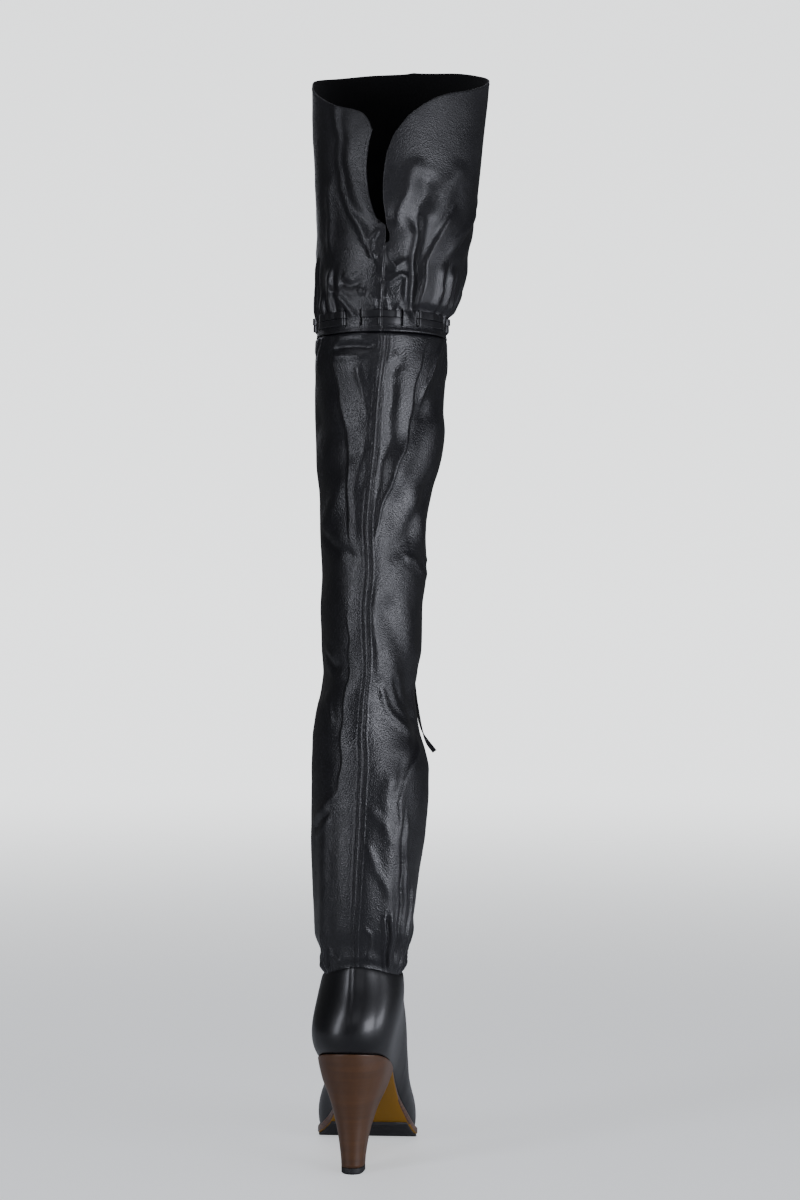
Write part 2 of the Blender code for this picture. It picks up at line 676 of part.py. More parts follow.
def make_cuff(material):
    """Flared cuff, open behind by a deep slit, with slots for the lace."""
    columns, slots = cuff_columns()
    top = len(cuff_low_rows()) - 1 + len(SLIT_RISES) - 1
    notch = len(cuff_low_rows()) - 1
    bm = bmesh.new()
    grid = {}

    def corner(side, c, r):
        shared = c == len(columns) - 1 or (c == 0 and r <= notch)
        key = (0 if shared else side, c, r)
        if key not in grid:
            grid[key] = bm.verts.new(cuff_point(side, columns[c], r))
        return grid[key]

    for side in (LATERAL, MEDIAL):
        for c in range(len(columns) - 1):
            for r in range(top):
                if r == 1 and c in slots:
                    continue
                quad = [corner(side, c, r), corner(side, c + 1, r),
                        corner(side, c + 1, r + 1), corner(side, c, r + 1)]
                bm.faces.new(quad if side == LATERAL else quad[::-1])
    give_wall(mesh_object("cuff", bm, material), CUFF_WALL)


def lace_path():
    """Plan of the laced band: outside along the bars, inside between them, as points."""
    columns, _ = cuff_columns()
    outside = -(LACE_GAP + LACE_THICKNESS / 2)
    inside = CUFF_WALL + LACE_GAP + LACE_THICKNESS / 2
    section = lace_section()
    end = 180.0 - math.degrees((KNOT_WIDTH / 2 + GAP) / section[0])
    half = []
    inset = outside
    stops = slot_middles()
    for angle in [a for a in columns if a < end]:
        while stops and angle > stops[0]:
            lean = SLOT_ANGLE / 4
            other = outside if inset == inside else inside
            half += [(stops[0] - lean, inset), (stops[0] + lean, other)]
            inset = other
            stops.pop(0)
        half.append((angle, inset))
    half.append((end, inset))
    full = [(-a, i) for a, i in half[:0:-1]] + half
    return [Vector((*oval(section, a, i), 0.0)) for a, i in full]


def ribbon(name, points, faces_out, width, material):
    """Flat lace along a path: a thin rectangle swept with its face towards one direction."""
    rings = []
    for i, point in enumerate(points):
        before = (point - points[max(i - 1, 0)]).normalized()
        after = (points[min(i + 1, len(points) - 1)] - point).normalized()
        run = (before + after).normalized()
        across = run.cross(faces_out[i]).normalized()
        out = across.cross(run).normalized()
        bend = max((before.dot(after) + 1) / 2, 0.5) if 0 < i < len(points) - 1 else 1.0
        out *= LACE_THICKNESS / 2 / math.sqrt(bend)
        across *= width / 2
        rings.append([point - across + out, point + across + out, point + across - out,
                      point - across - out])
    bm = skin(rings)
    bmesh.ops.recalc_face_normals(bm, faces=bm.faces)
    return mesh_object(name, bm, material)


def leg_outward(point):
    """Level direction out of the leg beside a point."""
    half_width, half_depth, across, middle, _, _ = shaft_section((point.z - SHAFT_BASE) / SHAFT_LENGTH)
    out = Vector(((point.x - across) / half_width ** 2, (point.y - middle) / half_depth ** 2, 0.0))
    return out.normalized()


def make_strands(material):
    """The laced band's two strands, one above the other, woven through the slots."""
    path = lace_path()
    section = lace_section()
    centre = Vector((section[2], section[3], 0.0))
    lows = {"lace_lower_strand": LACE_BASE, "lace_upper_strand": LACE_BASE + LACE_WIDTH + GAP}
    for name, low in lows.items():
        points = [p + Vector((0, 0, low + LACE_WIDTH / 2)) for p in path]
        ribbon(name, points, [p - centre for p in path], LACE_WIDTH, material)


def make_knot(material):
    """Flat knot on the cuff's front, between the ends of the strands."""
    x, y = oval(lace_section(), 180.0, -(LACE_GAP + KNOT_DEPTH / 2))
    bpy.ops.mesh.primitive_cube_add(size=1.0, location=(x, y, LACE_MIDDLE))
    knot = bpy.context.object
    knot.name = "lace_knot"
    knot.scale = (KNOT_WIDTH, KNOT_DEPTH, KNOT_HEIGHT)
    bpy.ops.object.transform_apply(location=False, rotation=False, scale=True)
    rounding = knot.modifiers.new("Rounding", "BEVEL")
    rounding.width = KNOT_ROUNDING
    rounding.segments = 2
    knot.data.materials.append(material)
    knot.data.shade_smooth()


def make_lace_ends(material):
    """The lace's two ends, hanging from the knot along the leg."""
    for name, route in (("lace_end_lateral", LATERAL_END), ("lace_end_medial", MEDIAL_END)):
        points = [Vector(p) / 1000 for p in route]
        ribbon(name, points, [leg_outward(p) for p in points], LACE_WIDTH, material)


def sole_ring(y, margin, top, bottom, chamfer=SOLE_CHAMFER):
    """Section of a sole layer at one place along the foot, its corners chamfered."""
    left = edge_x(MEDIAL, y, margin)
    right = edge_x(LATERAL, y, margin)
    high = last_z(y) - upright(y, top)
    low = last_z(y) - upright(y, bottom)
    if chamfer == 0.0:
        return [Vector((left, y, high)), Vector((right, y, high)),
                Vector((right, y, low)), Vector((left, y, low))]
    cut = min(chamfer, (right - left) / 3)
    return [
        Vector((left + cut, y, high)), Vector((right - cut, y, high)),
        Vector((right, y, high - cut)), Vector((right, y, low + cut)),
        Vector((right - cut, y, low)), Vector((left + cut, y, low)),
        Vector((left, y, low + cut)), Vector((left, y, high - cut)),
    ]


def stations(start, end):
    """Places along the foot between two ends, the same ones for every layer of the sole."""
    places = [LAST_LENGTH * share - HEEL_SETBACK for share in STATION_SHARES]
    return [start] + [y for y in places if start + TIP_CUT < y < end - TIP_CUT] + [end]


def outsole_bottom(y):
    """Depth of the outsole's underside below the last, thin at the waist, full at the ball."""
    along = (y + HEEL_SETBACK) / LAST_LENGTH
    share = smooth(np.array([WAIST_END_SHARE, HALF_SOLE_SHARE]), np.array([0.0, 1.0]), along)
    return GAP + mix(WAIST_THICKNESS, OUTSOLE_THICKNESS, share)


def make_outsole(material):
    """Outsole from the heel's breast to the toe."""
    tip = LAST_LENGTH - HEEL_SETBACK + SOLE_MARGIN - TIP_CUT
    places = stations(BREAST_Y + GAP, tip)
    margins = [SOLE_MARGIN * smooth(np.array([WAIST_END_SHARE, HALF_SOLE_SHARE]), np.array([0.0, 1.0]),
                                    (y + HEEL_SETBACK) / LAST_LENGTH) for y in places]
    rings = [sole_ring(y, m, GAP, outsole_bottom(y)) for y, m in zip(places, margins)]
    mesh_object("outsole", skin(rings), material)


def make_half_sole(material):
    """Forefoot tread under the outsole, cut straight behind and flat where it stands."""
    margin = SOLE_MARGIN - HALF_SOLE_INSET
    start = HALF_SOLE_SHARE * LAST_LENGTH - HEEL_SETBACK
    tip = LAST_LENGTH - HEEL_SETBACK + margin - TIP_CUT
    rings = []
    for y in stations(start, tip):
        top = outsole_bottom(y) + GAP
        rings.append(sole_ring(y, margin, top, top + HALF_SOLE_THICKNESS))
    mesh_object("half_sole", skin(rings), material)


def make_insole(material):
    """Insole inside the upper, from the heel seat to the toe."""
    margin = -(UPPER_WALL + INSOLE_CLEARANCE)
    start = -HEEL_SETBACK - margin + TIP_CUT
    tip = LAST_LENGTH - HEEL_SETBACK + margin - TIP_CUT
    rings = [sole_ring(y, margin, -INSOLE_THICKNESS, 0.0, 0.0) for y in stations(start, tip)]
    mesh_object("insole", skin(rings), material)


def heel_outline():
    """Outline of the heel seat: back round the lateral side, across the breast and home."""
    sides = {}
    for side in (LATERAL, MEDIAL):
        curve, _ = outline_side(side, HEEL_SEAT_MARGIN)
        run = np.concatenate([[0.0], np.cumsum(np.linalg.norm(np.diff(curve, axis=0), axis=1))])
        end = np.interp(BREAST_Y, curve[:, 1], run)
        places = [end * i / HEEL_SIDE_POINTS for i in range(HEEL_SIDE_POINTS + 1)]
        sides[side] = [[float(np.interp(p, run, curve[:, k])) for k in range(2)] for p in places]
        sides[side][-1][1] = BREAST_Y
    return sides


def heel_ring(outline, level):
    """Ring of the heel block at one level between its tip and the seat."""
    row = {name: smooth(HEEL["rise"], HEEL[name], level) for name in HEEL}
    seat_back = outline[LATERAL][0][1]
    seat_half = max(p[0] for p in outline[LATERAL])
    width = mix(HEEL_TIP_WIDTH / 2, seat_half, row["width"]) / seat_half
    back = mix(-HEEL_TIP_LENGTH / 2, seat_back, row["back"])
    breast = mix(HEEL_TIP_LENGTH / 2, BREAST_Y, row["breast"])
    base = TOP_PIECE_THICKNESS + GAP

    def place(point, hollow=0.0):
        share = (point[1] - seat_back) / (BREAST_Y - seat_back)
        seat = last_z(point[1]) - upright(point[1], LAYER_GAP)
        return Vector((point[0] * width, mix(back, breast, share) - hollow, mix(base, seat, level)))

    lateral, medial = outline[LATERAL], outline[MEDIAL]
    ring = [place(p) for p in lateral]
    for i in (1, 2, 3):
        middle = [mix(lateral[-1][0], medial[-1][0], i / 4), BREAST_Y]
        ring.append(place(middle, BREAST_HOLLOW * math.sin(math.pi * i / 4) * (1 - row["breast"])))
    return ring + [place(p) for p in medial[:0:-1]]


def make_heel(material):
    """Stacked heel block, round behind, hollowed at the breast, flaring to the seat."""
    outline = heel_outline()
    rings = [heel_ring(outline, level) for level in HEEL["rise"]]
    bm = skin(rings, capped=False)
    count = len(rings[0])
    verts = list(bm.verts)
    bm.faces.new(verts[:count][::-1])
    seat = verts[-count:]
    for i in range(HEEL_SIDE_POINTS - 1):
        strip = [seat[i], seat[i + 1], seat[-(i + 1)], seat[-i]]
        bm.faces.new(list(dict.fromkeys(strip)) if i else [seat[0], seat[1], seat[-1]])
    bm.faces.new(seat[HEEL_SIDE_POINTS - 1:count - HEEL_SIDE_POINTS + 2])
    mesh_object("heel", bm, material)


def make_top_piece(material):
    """Top piece under the heel, the boot's rear rest on the floor."""
    outline = heel_outline()
    rim = [Vector((p.x, p.y, 0.0)) for p in heel_ring(outline, 0.0)]
    rings = []
    for z, cut in ((0.0, SOLE_CHAMFER), (SOLE_CHAMFER, 0.0), (TOP_PIECE_THICKNESS, 0.0)):
        scale = 1 - 2 * cut / HEEL_TIP_WIDTH
        rings.append([Vector((p.x * scale, p.y * scale, z)) for p in rim])
    mesh_object("heel_top_piece", skin(rings), material)


def main():
    """Build the boot."""
    for old in list(bpy.data.objects):
        bpy.data.objects.remove(old, do_unlink=True)

    glossy_black = leather("glossy_calf", (0.012, 0.012, 0.014), 0.22, coat=0.4)
    soft_black = leather("soft_leather", (0.016, 0.016, 0.019), 0.42)
    lace_black = leather("lace_leather", (0.018, 0.018, 0.020), 0.5)
    stacked_brown = leather("stacked_leather", (0.080, 0.035, 0.014), 0.3, coat=0.5)
    sole_leather = leather("waist_leather", (0.260, 0.140, 0.030), 0.35)
    tread_black = leather("tread_rubber", (0.010, 0.010, 0.011), 0.6)
    sock_black = leather("insole_suede", (0.012, 0.012, 0.012), 0.9)

    make_heel(stacked_brown)
    make_top_piece(tread_black)
    make_outsole(sole_leather)
    make_half_sole(tread_black)
    make_insole(sock_black)
    make_upper(glossy_black)
    make_shaft(soft_black)
    make_cuff(soft_black)
    make_strands(lace_black)
    make_knot(lace_black)
    make_lace_ends(lace_black)


main()
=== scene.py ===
# %% [markdown]
# # A thigh high leather boot
# The boot is one of a pair: a glossy foot part on a stacked high heel, a soft leg that slouches in
# deep folds, and a flared cuff that a flat lace draws in above the knee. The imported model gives
# every size, so it is loaded first as a fixed frame, and each piece is made over it.

# %% Load the frame
import math

import bmesh
import bpy
import numpy as np
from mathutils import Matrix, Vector


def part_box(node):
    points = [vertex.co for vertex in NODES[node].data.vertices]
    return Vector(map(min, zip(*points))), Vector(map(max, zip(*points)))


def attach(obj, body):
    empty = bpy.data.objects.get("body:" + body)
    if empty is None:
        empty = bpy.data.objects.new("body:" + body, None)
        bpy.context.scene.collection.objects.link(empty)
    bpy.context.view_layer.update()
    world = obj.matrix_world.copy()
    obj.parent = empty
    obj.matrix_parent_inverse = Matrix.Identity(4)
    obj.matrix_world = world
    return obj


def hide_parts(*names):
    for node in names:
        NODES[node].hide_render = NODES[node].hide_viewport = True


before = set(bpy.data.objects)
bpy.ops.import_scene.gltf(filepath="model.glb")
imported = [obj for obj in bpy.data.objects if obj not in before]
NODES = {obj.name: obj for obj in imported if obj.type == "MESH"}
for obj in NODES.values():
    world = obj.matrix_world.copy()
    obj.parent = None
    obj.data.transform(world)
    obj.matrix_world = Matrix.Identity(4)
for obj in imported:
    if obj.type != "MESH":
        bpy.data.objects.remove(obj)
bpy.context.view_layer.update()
print("CAD nodes:", ", ".join(sorted(NODES)))

# %% [markdown]
# ## Camera
# The boot is seen from behind, a little from its outer side, by a level camera at half its height
# and about two metres away.

# %% Camera
CAMERA_PLACE = Vector((0.1811, -1.9323, 0.4576))
CAMERA_AIM = Vector((0.0345, 0.0445, 0.4576))
LENS = 72.8


def deselect():
    """Leave nothing selected, whatever mode was on."""
    if bpy.context.object and bpy.context.object.mode != "OBJECT":
        bpy.ops.object.mode_set(mode="OBJECT")
    bpy.ops.object.select_all(action="DESELECT")


def edit_all():
    """Open the active mesh for editing with all of it selected."""
    bpy.ops.object.mode_set(mode="EDIT")
    bpy.ops.mesh.select_all(action="SELECT")


deselect()
bpy.ops.object.camera_add(location=CAMERA_PLACE)
camera = bpy.context.object
camera.name = "camera"
camera.rotation_euler = (CAMERA_AIM - CAMERA_PLACE).to_track_quat("-Z", "Y").to_euler()
camera.data.lens = LENS
bpy.context.scene.camera = camera

# %% [markdown]
# ## Sizes and section tables
# The leg and the cuff are ovals stacked on each other. The tables hold shares of the calf's and the
# cuff's own size, and a curve that never overshoots runs through each column.

# %% Sizes
HEEL_HEIGHT = 0.0987
COUNTER_HEIGHT = 0.067
SIDE_HEIGHT = 0.0548
THROAT_HEIGHT = 0.0553
ANKLE_WIDTH = 0.0664
ANKLE_DEPTH = 0.092
ANKLE_MIDDLE = 0.038
ANKLE_OFFSET = 0.0048
UPPER_WALL = 0.0018
SHAFT_BASE = HEEL_HEIGHT + SIDE_HEIGHT
SHAFT_LENGTH = 0.523
SHAFT_TOP = SHAFT_BASE + SHAFT_LENGTH
CALF_WIDTH = 0.106
CALF_DEPTH = 0.132
CUFF_WALL = 0.0014
CUFF_HEIGHT = 0.237
CUFF_WIDTH = 0.146
CUFF_DEPTH = 0.156
CUFF_BASE = SHAFT_TOP - 0.005
NOTCH_SHARE = 0.29
NOTCH_HEIGHT = CUFF_BASE + NOTCH_SHARE * CUFF_HEIGHT
TOP_INSET = 0.0032
LINING_DEPTH = 0.0034
LOWEST_LEVEL = -0.009
LACE_WIDTH = 0.0055
LACE_THICKNESS = 0.001
LACE_GAP = 0.0004
LACE_BASE = SHAFT_TOP + LACE_GAP
LACE_PITCH = LACE_WIDTH + 0.0003
SLOT_WIDTH = 0.0030
LACE_BARS = 7
BAR_ANGLE = 36.0
BAR_PITCH = 360.0 / LACE_BARS
MEAN_RADIUS = (CALF_WIDTH + CALF_DEPTH) / 4


def table(names, *rows, parts=1):
    """One array for each named column of a small table, whose numbers may be thousandth parts."""
    return dict(zip(names.split(), np.array(rows, dtype=float).T / parts))


def through(xs, ys, x):
    """Curve through the points of a column that never overshoots them."""
    xs, ys = np.asarray(xs, dtype=float), np.asarray(ys, dtype=float)
    step = np.diff(xs)
    rise = np.diff(ys) / step
    product = rise[:-1] * rise[1:]
    total = np.where(product > 0, rise[:-1] + rise[1:], 1.0)
    inner = np.where(product > 0, 2 * product / total, 0.0)
    slopes = np.concatenate([rise[:1], inner, rise[-1:]])
    x = np.clip(x, xs[0], xs[-1])
    i = np.clip(np.searchsorted(xs, x, side="right") - 1, 0, len(step) - 1)
    t = (x - xs[i]) / step[i]
    start = (1 + 2 * t) * (1 - t) ** 2 * ys[i] + t * (1 - t) ** 2 * step[i] * slopes[i]
    end = t * t * (3 - 2 * t) * ys[i + 1] + t * t * (t - 1) * step[i] * slopes[i + 1]
    return start + end


def mix(a, b, share):
    """Value part of the way from a to b."""
    return a + (b - a) * share


def ease(low, high, x):
    """Smooth step from 0 at low to 1 at high."""
    t = np.clip((x - low) / (high - low), 0.0, 1.0)
    return t * t * (3 - 2 * t)


SHAFT = table(
    "height width depth across middle seam",
    (10, 622, 690, 48, 288, -31),
    (31, 640, 720, 48, 295, -31),
    (63, 745, 790, 47, 303, -28),
    (94, 766, 830, 50, 311, -22),
    (126, 790, 860, 53, 318, -15),
    (157, 820, 885, 60, 326, -16),
    (220, 883, 930, 80, 348, -20),
    (283, 906, 965, 89, 364, -16),
    (315, 905, 970, 88, 371, -4),
    (346, 868, 960, 76, 375, 10),
    (377, 820, 950, 60, 379, 20),
    (407, 774, 950, 59, 383, 30),
    (440, 720, 955, 70, 386, 32),
    (470, 716, 965, 95, 386, 24),
    (503, 758, 975, 104, 390, 14),
    (564, 789, 985, 103, 394, 4),
    (627, 806, 995, 124, 402, 9),
    (690, 822, 1000, 111, 405, 11),
    (753, 883, 1000, 132, 409, 14),
    (784, 945, 1000, 147, 413, 15),
    (816, 990, 1000, 162, 417, 18),
    (850, 1010, 1000, 166, 417, 25),
    (878, 998, 1000, 160, 417, 40),
    (941, 1004, 1000, 170, 417, 66),
    (970, 998, 995, 174, 420, 80),
    parts=1000,
)
CUFF = table(
    "height width depth across middle seam point",
    (0, 736, 868, 128, 363, 34, 1000),
    (20, 724, 854, 128, 363, 34, 1000),
    (73, 724, 854, 128, 363, 34, 1000),
    (101, 768, 876, 145, 365, 20, 1000),
    (200, 828, 905, 170, 372, 6, 1030),
    (290, 858, 923, 181, 377, 0, 1060),
    (498, 925, 955, 204, 385, -20, 1120),
    (720, 970, 985, 220, 392, -35, 1180),
    (878, 1000, 1000, 234, 397, -45, 1220),
    (1000, 1010, 1000, 240, 400, -50, 1240),
    parts=1000,
)
RIM = table(
    "angle lateral medial",
    (0, 0.595, 0.690),
    (8, 0.660, 0.700),
    (12, 0.683, 0.676),
    (14, 0.694, 0.699),
    (20, 0.726, 0.735),
    (42, 0.797, 0.776),
    (66, 0.835, 0.840),
    (90, 0.882, 0.911),
    (120, 0.941, 0.954),
    (150, 0.983, 0.987),
    (180, 1.000, 1.000),
)
SLIT = table(
    "rise lateral medial",
    (0, 0, 0),
    (40, 36, 8),
    (110, 38, 8),
    (160, 24, 2),
    (210, 12, -55),
    (340, -4, -96),
    (500, -20, -124),
    (680, -23, -137),
    (840, -15, -128),
    (1000, 3, -102),
    parts=1000,
)

# %% [markdown]
# ## Creases
# Soft leather doesn't wrinkle at random: it hangs in long soft ridges from where it is drawn in,
# breaks in short sharp troughs where two of them meet, and laps over itself at a fold. Each crease
# is a line over the unrolled leg, with a height and a width in millimetres; a ridge of less than no
# height is a soft trough. A wide, shallow unevenness lies under them.

# %% Crease tools
MM_ROUND = math.radians(1.0) * MEAN_RADIUS * 1000


def turned(angle):
    """Angle from the seam between -180 and 180 degrees."""
    return (np.asarray(angle, dtype=float) + 180.0) % 360.0 - 180.0


def along_line(angle, height, line):
    """Signed distance in millimetres from a line of (angle, height in mm), and the share along it."""
    best = np.full(angle.shape, 1e9)
    side, share, weights = np.zeros(angle.shape), np.zeros(angle.shape), np.zeros(angle.shape)
    runs = [math.hypot((b[0] - a[0]) * MM_ROUND, b[1] - a[1]) for a, b in zip(line, line[1:])]
    done = 0.0
    for (a, b), run in zip(zip(line, line[1:]), runs):
        du = turned(angle - a[0]) * MM_ROUND
        dv = height - a[1]
        eu, ev = (b[0] - a[0]) * MM_ROUND, b[1] - a[1]
        t = np.clip((du * eu + dv * ev) / run ** 2, 0.0, 1.0)
        away = np.hypot(du - t * eu, dv - t * ev)
        near = away < best
        best = np.where(near, away, best)
        side = np.where(near, np.sign(du * ev - dv * eu), side)
        weight = 1 / (away ** 2 + 0.5) ** 3
        share += weight * (done + t * run) / sum(runs)
        weights += weight
        done += run
    return best * side, share / weights


def creased(angle, height, rows):
    """How far the rows of creases move the leather out, in millimetres."""
    wander = 1.5 * np.sin(height * 0.071 + 1.3) + 0.8 * np.sin(height * 0.19 + angle * 0.05)
    total = np.zeros(angle.shape)
    for kind, depth, width, *line in rows:
        away, share = along_line(angle + wander / MM_ROUND, height, line)
        fade = ease(0.0, 0.18, share) * ease(0.0, 0.25, 1 - share)
        reach = np.abs(away) / (width * (0.75 + 0.25 * fade))
        if kind == "ridge":
            shape = np.exp(-reach ** 2)
        elif kind == "trough":
            shape = 0.55 * np.exp(-(reach - 2.0) ** 2) - np.exp(-1.3 * reach)
        else:
            shape = np.where(away < 0, np.exp(-0.6 * reach), np.exp(-(reach / 0.4) ** 2))
        total += depth * fade * shape
    return total


def uneven(angle, height, cells, rise, seed):
    """Soft random unevenness that closes round the leg, one value to a cell."""
    around, upward = cells
    values = np.random.default_rng(seed).uniform(-1.0, 1.0, (around, upward + 2))
    u = (np.asarray(angle, dtype=float) % 360.0) / 360.0 * around
    v = np.clip((height - 140.0) / 780.0, 0.0, 1.0) * upward
    i, j = np.floor(u).astype(int), np.floor(v).astype(int)
    fu, fv = ease(0, 1, u - i), ease(0, 1, v - j)
    low = mix(values[i % around, j], values[(i + 1) % around, j], fu)
    high = mix(values[i % around, j + 1], values[(i + 1) % around, j + 1], fu)
    return rise * mix(low, high, fv)


# %% [markdown]
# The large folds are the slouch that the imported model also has: angle and height share at both
# ends, reach and depth. The fine ones hold angles and thousandths of the leg's height.

# %% Folds of the leg
FOLD_DEPTH = 6.0
FOLDS = (
    (-70, 0.955, -12, 0.930, 0.13, 0.45),
    (62, 0.900, 6, 0.800, 0.13, -0.55),
    (-70, 0.850, -14, 0.800, 0.12, -0.50),
    (-60, 0.690, -8, 0.800, 0.10, 0.40),
    (12, 0.800, 70, 0.690, 0.11, 0.45),
    (25, 0.560, 80, 0.380, 0.12, -0.55),
    (-85, 0.440, -25, 0.470, 0.12, -0.40),
    (30, 0.300, 42, 0.040, 0.10, 0.55),
    (-40, 0.250, -45, 0.040, 0.09, 0.35),
    (120, 0.060, 120, 0.260, 0.12, -0.50),
    (180, 0.050, 180, 0.130, 0.18, -0.60),
    (150, 0.200, 210, 0.180, 0.12, 0.45),
    (130, 0.480, 215, 0.440, 0.14, -0.45),
    (140, 0.760, 230, 0.800, 0.14, -0.45),
)


def on_leg(point):
    """Angle and millimetres above the floor, from an angle and a thousandth part of the leg."""
    angle, part = point
    return angle, 1000 * (SHAFT_BASE + part / 1000 * SHAFT_LENGTH)


LEG_LINES = [
    ("ridge", 1.5, 3.6, (-50, 986), (-34, 987), (-14, 986)),
    ("trough", 2.6, 3.0, (-52, 966), (-34, 968), (-16, 966), (-8, 972)),
    ("ridge", 1.1, 3.0, (-48, 953), (-30, 950), (-14, 953)),
    ("ridge", 0.9, 2.0, (-7, 990), (-5, 975), (-6, 960), (-12, 952)),
    ("lap", 1.4, 5.0, (-51, 992), (-46, 948), (-35, 896), (-29, 848), (-24, 796), (-20, 744), (-19, 640)),
    ("ridge", 1.1, 3.0, (-22, 948), (-17, 916), (-13, 896), (-8, 872), (-7, 845)),
    ("ridge", 1.3, 5.5, (-7, 848), (-11, 816), (-13, 780), (-14, 744), (-12, 660)),
    ("ridge", 0.9, 4.2, (5, 960), (11, 948), (15, 930), (11, 905)),
    ("lap", 2.0, 5.0, (5, 648), (7, 676), (13, 712), (19, 752), (22, 796), (27, 832), (31, 872), (32, 924),
     (35, 964), (40, 992)),
    ("ridge", -2.8, 6.5, (14, 985), (12, 930), (11, 870), (9, 800), (7, 740), (4, 680)),
    ("ridge", -2.4, 11.0, (50, 900), (45, 840), (40, 796), (35, 748), (26, 708), (16, 672)),
    ("ridge", 1.6, 2.4, (65, 990), (54, 952), (46, 908), (41, 872)),
    ("ridge", -2.2, 8.0, (74, 790), (59, 720), (44, 680), (24, 652), (9, 640)),
    ("ridge", -1.8, 5.0, (-72, 700), (-46, 664), (-22, 650), (-8, 640)),
    ("trough", 1.6, 3.0, (66, 645), (80, 625), (98, 640)),
    ("ridge", 1.1, 3.5, (38, 650), (56, 642), (74, 612)),
    ("lap", 0.9, 4.5, (-19, 580), (-19, 520), (-23, 492), (-25, 448), (-21, 404), (-21, 370), (-22, 336),
     (-25, 288), (-32, 262)),
    ("ridge", 0.9, 5.0, (10, 620), (10, 560), (11, 492), (18, 448)),
    ("ridge", 1.8, 4.0, (14, 458), (20, 440), (27, 420), (36, 404), (51, 388), (70, 368)),
    ("trough", 1.4, 3.5, (30, 470), (46, 430), (70, 400), (92, 392)),
    ("lap", 2.0, 8.0, (98, 376), (79, 368), (63, 344), (47, 320), (41, 304), (38, 276), (41, 248),
     (47, 192), (53, 140), (58, 80), (66, 10)),
    ("ridge", -1.3, 6.0, (48, 350), (36, 318), (31, 280), (34, 240), (39, 190)),
    ("ridge", 0.9, 4.5, (3, 268), (12, 258), (24, 240), (33, 222), (38, 196)),
    ("ridge", 0.9, 4.5, (6, 222), (11, 196), (19, 168), (30, 140), (37, 110)),
    ("ridge", 1.3, 3.5, (-21, 290), (-34, 276), (-50, 255), (-70, 236)),
    ("trough", 1.2, 3.0, (-30, 258), (-42, 244), (-60, 222)),
    ("trough", 1.4, 4.0, (-66, 500), (-48, 478), (-34, 486)),
    ("ridge", 0.9, 3.5, (-62, 440), (-44, 420), (-32, 380)),
    ("ridge", 0.8, 1.8, (8, 62), (14, 64), (21, 55), (24, 36), (20, 18), (12, 10)),
    ("ridge", 0.8, 2.0, (-31, 70), (-39, 50), (-38, 28), (-30, 16), (-17, 10)),
    ("trough", 2.4, 2.8, (42, 270), (46, 200), (50, 140), (56, 80), (64, -12)),
    ("trough", 3.0, 2.2, (37, 100), (42, 55), (51, -12)),
    ("trough", 3.4, 2.4, (66, 150), (70, 80), (76, -12)),
    ("trough", 2.0, 4.5, (112, 250), (150, 300), (185, 290), (225, 260)),
    ("ridge", 1.8, 6.0, (118, 215), (160, 240), (200, 235), (240, 205)),
    ("trough", 2.0, 4.5, (120, 150), (155, 135), (195, 140), (232, 165)),
    ("ridge", 1.6, 5.0, (125, 100), (165, 85), (205, 90), (238, 115)),
    ("trough", 2.2, 5.5, (105, 520), (140, 500), (175, 455), (215, 450)),
    ("lap", 2.2, 6.0, (100, 880), (120, 820), (135, 740), (160, 660), (182, 600)),
    ("lap", 2.2, 6.0, (190, 640), (205, 690), (225, 750), (240, 830), (262, 900)),
    ("trough", 2.0, 5.0, (140, 560), (165, 600), (195, 600), (225, 560)),
    ("ridge", 1.6, 5.0, (150, 950), (165, 860), (170, 780), (160, 700)),
    ("ridge", 1.4, 5.0, (215, 940), (205, 860), (212, 780), (222, 700)),
    ("lap", 1.8, 5.0, (250, 560), (262, 480), (258, 400), (246, 330)),
    ("ridge", 1.5, 5.0, (110, 430), (122, 360), (120, 290), (108, 220)),
    ("ridge", 1.4, 4.5, (175, 420), (182, 360), (176, 310), (184, 260)),
]
for a in range(-174, 180, 12):
    gather, reach = a + 3.0 * math.sin(a), 70 + 35 * math.sin(3.1 * a + 1.0)
    if not -50 < gather < 88:
        top = gather - (0.16 * gather if abs(gather) < 120 else 0.0)
        LEG_LINES.append(("ridge", 2.2, 3.4, (gather, -12), (top, reach)))
        LEG_LINES.append(("trough", 1.6, 1.8, (gather + 6, -12), (top + 6, 0.7 * reach)))
for a in range(-174, 180, 12):
    gather, reach = a + 4.0 * math.sin(2 * a), 45 + 25 * math.sin(1.7 * a)
    if not -60 < gather < 60:
        LEG_LINES.append(("ridge", 1.3, 3.2, (gather, 1002), (gather, 985 - reach)))
LEG_CREASES = [(*row[:3], *map(on_leg, row[3:])) for row in LEG_LINES]

# %% [markdown]
# ## The leg's surface
# One function gives a point of the leather for any angle round the leg and any height, so the leg,
# its lining, its seam and its stitches all lie on the same surface.

# %% Surface of the leg
SEAM_ROW = 2.8


def topline(angle):
    """Height of the foot part's top line round the ankle."""
    cosine = np.cos(np.radians(angle))
    end = np.where(cosine > 0, COUNTER_HEIGHT, THROAT_HEIGHT)
    return HEEL_HEIGHT + mix(SIDE_HEIGHT, end, cosine * cosine)


def oval(section, angle, inset=0.0):
    """Point round an oval section, its angle counted from the seam, with the way out."""
    half_width, half_depth, across, middle, seam, point = section
    turn = np.radians(angle) + np.arcsin(seam / half_width)
    sine = np.sign(np.sin(turn)) * np.abs(np.sin(turn)) ** point
    x = across + (half_width - inset) * sine
    y = middle - (half_depth - inset) * np.cos(turn)
    out = np.stack([x - across, y - middle, np.zeros_like(x)], axis=-1)
    return x, y, out / np.linalg.norm(out, axis=-1, keepdims=True)


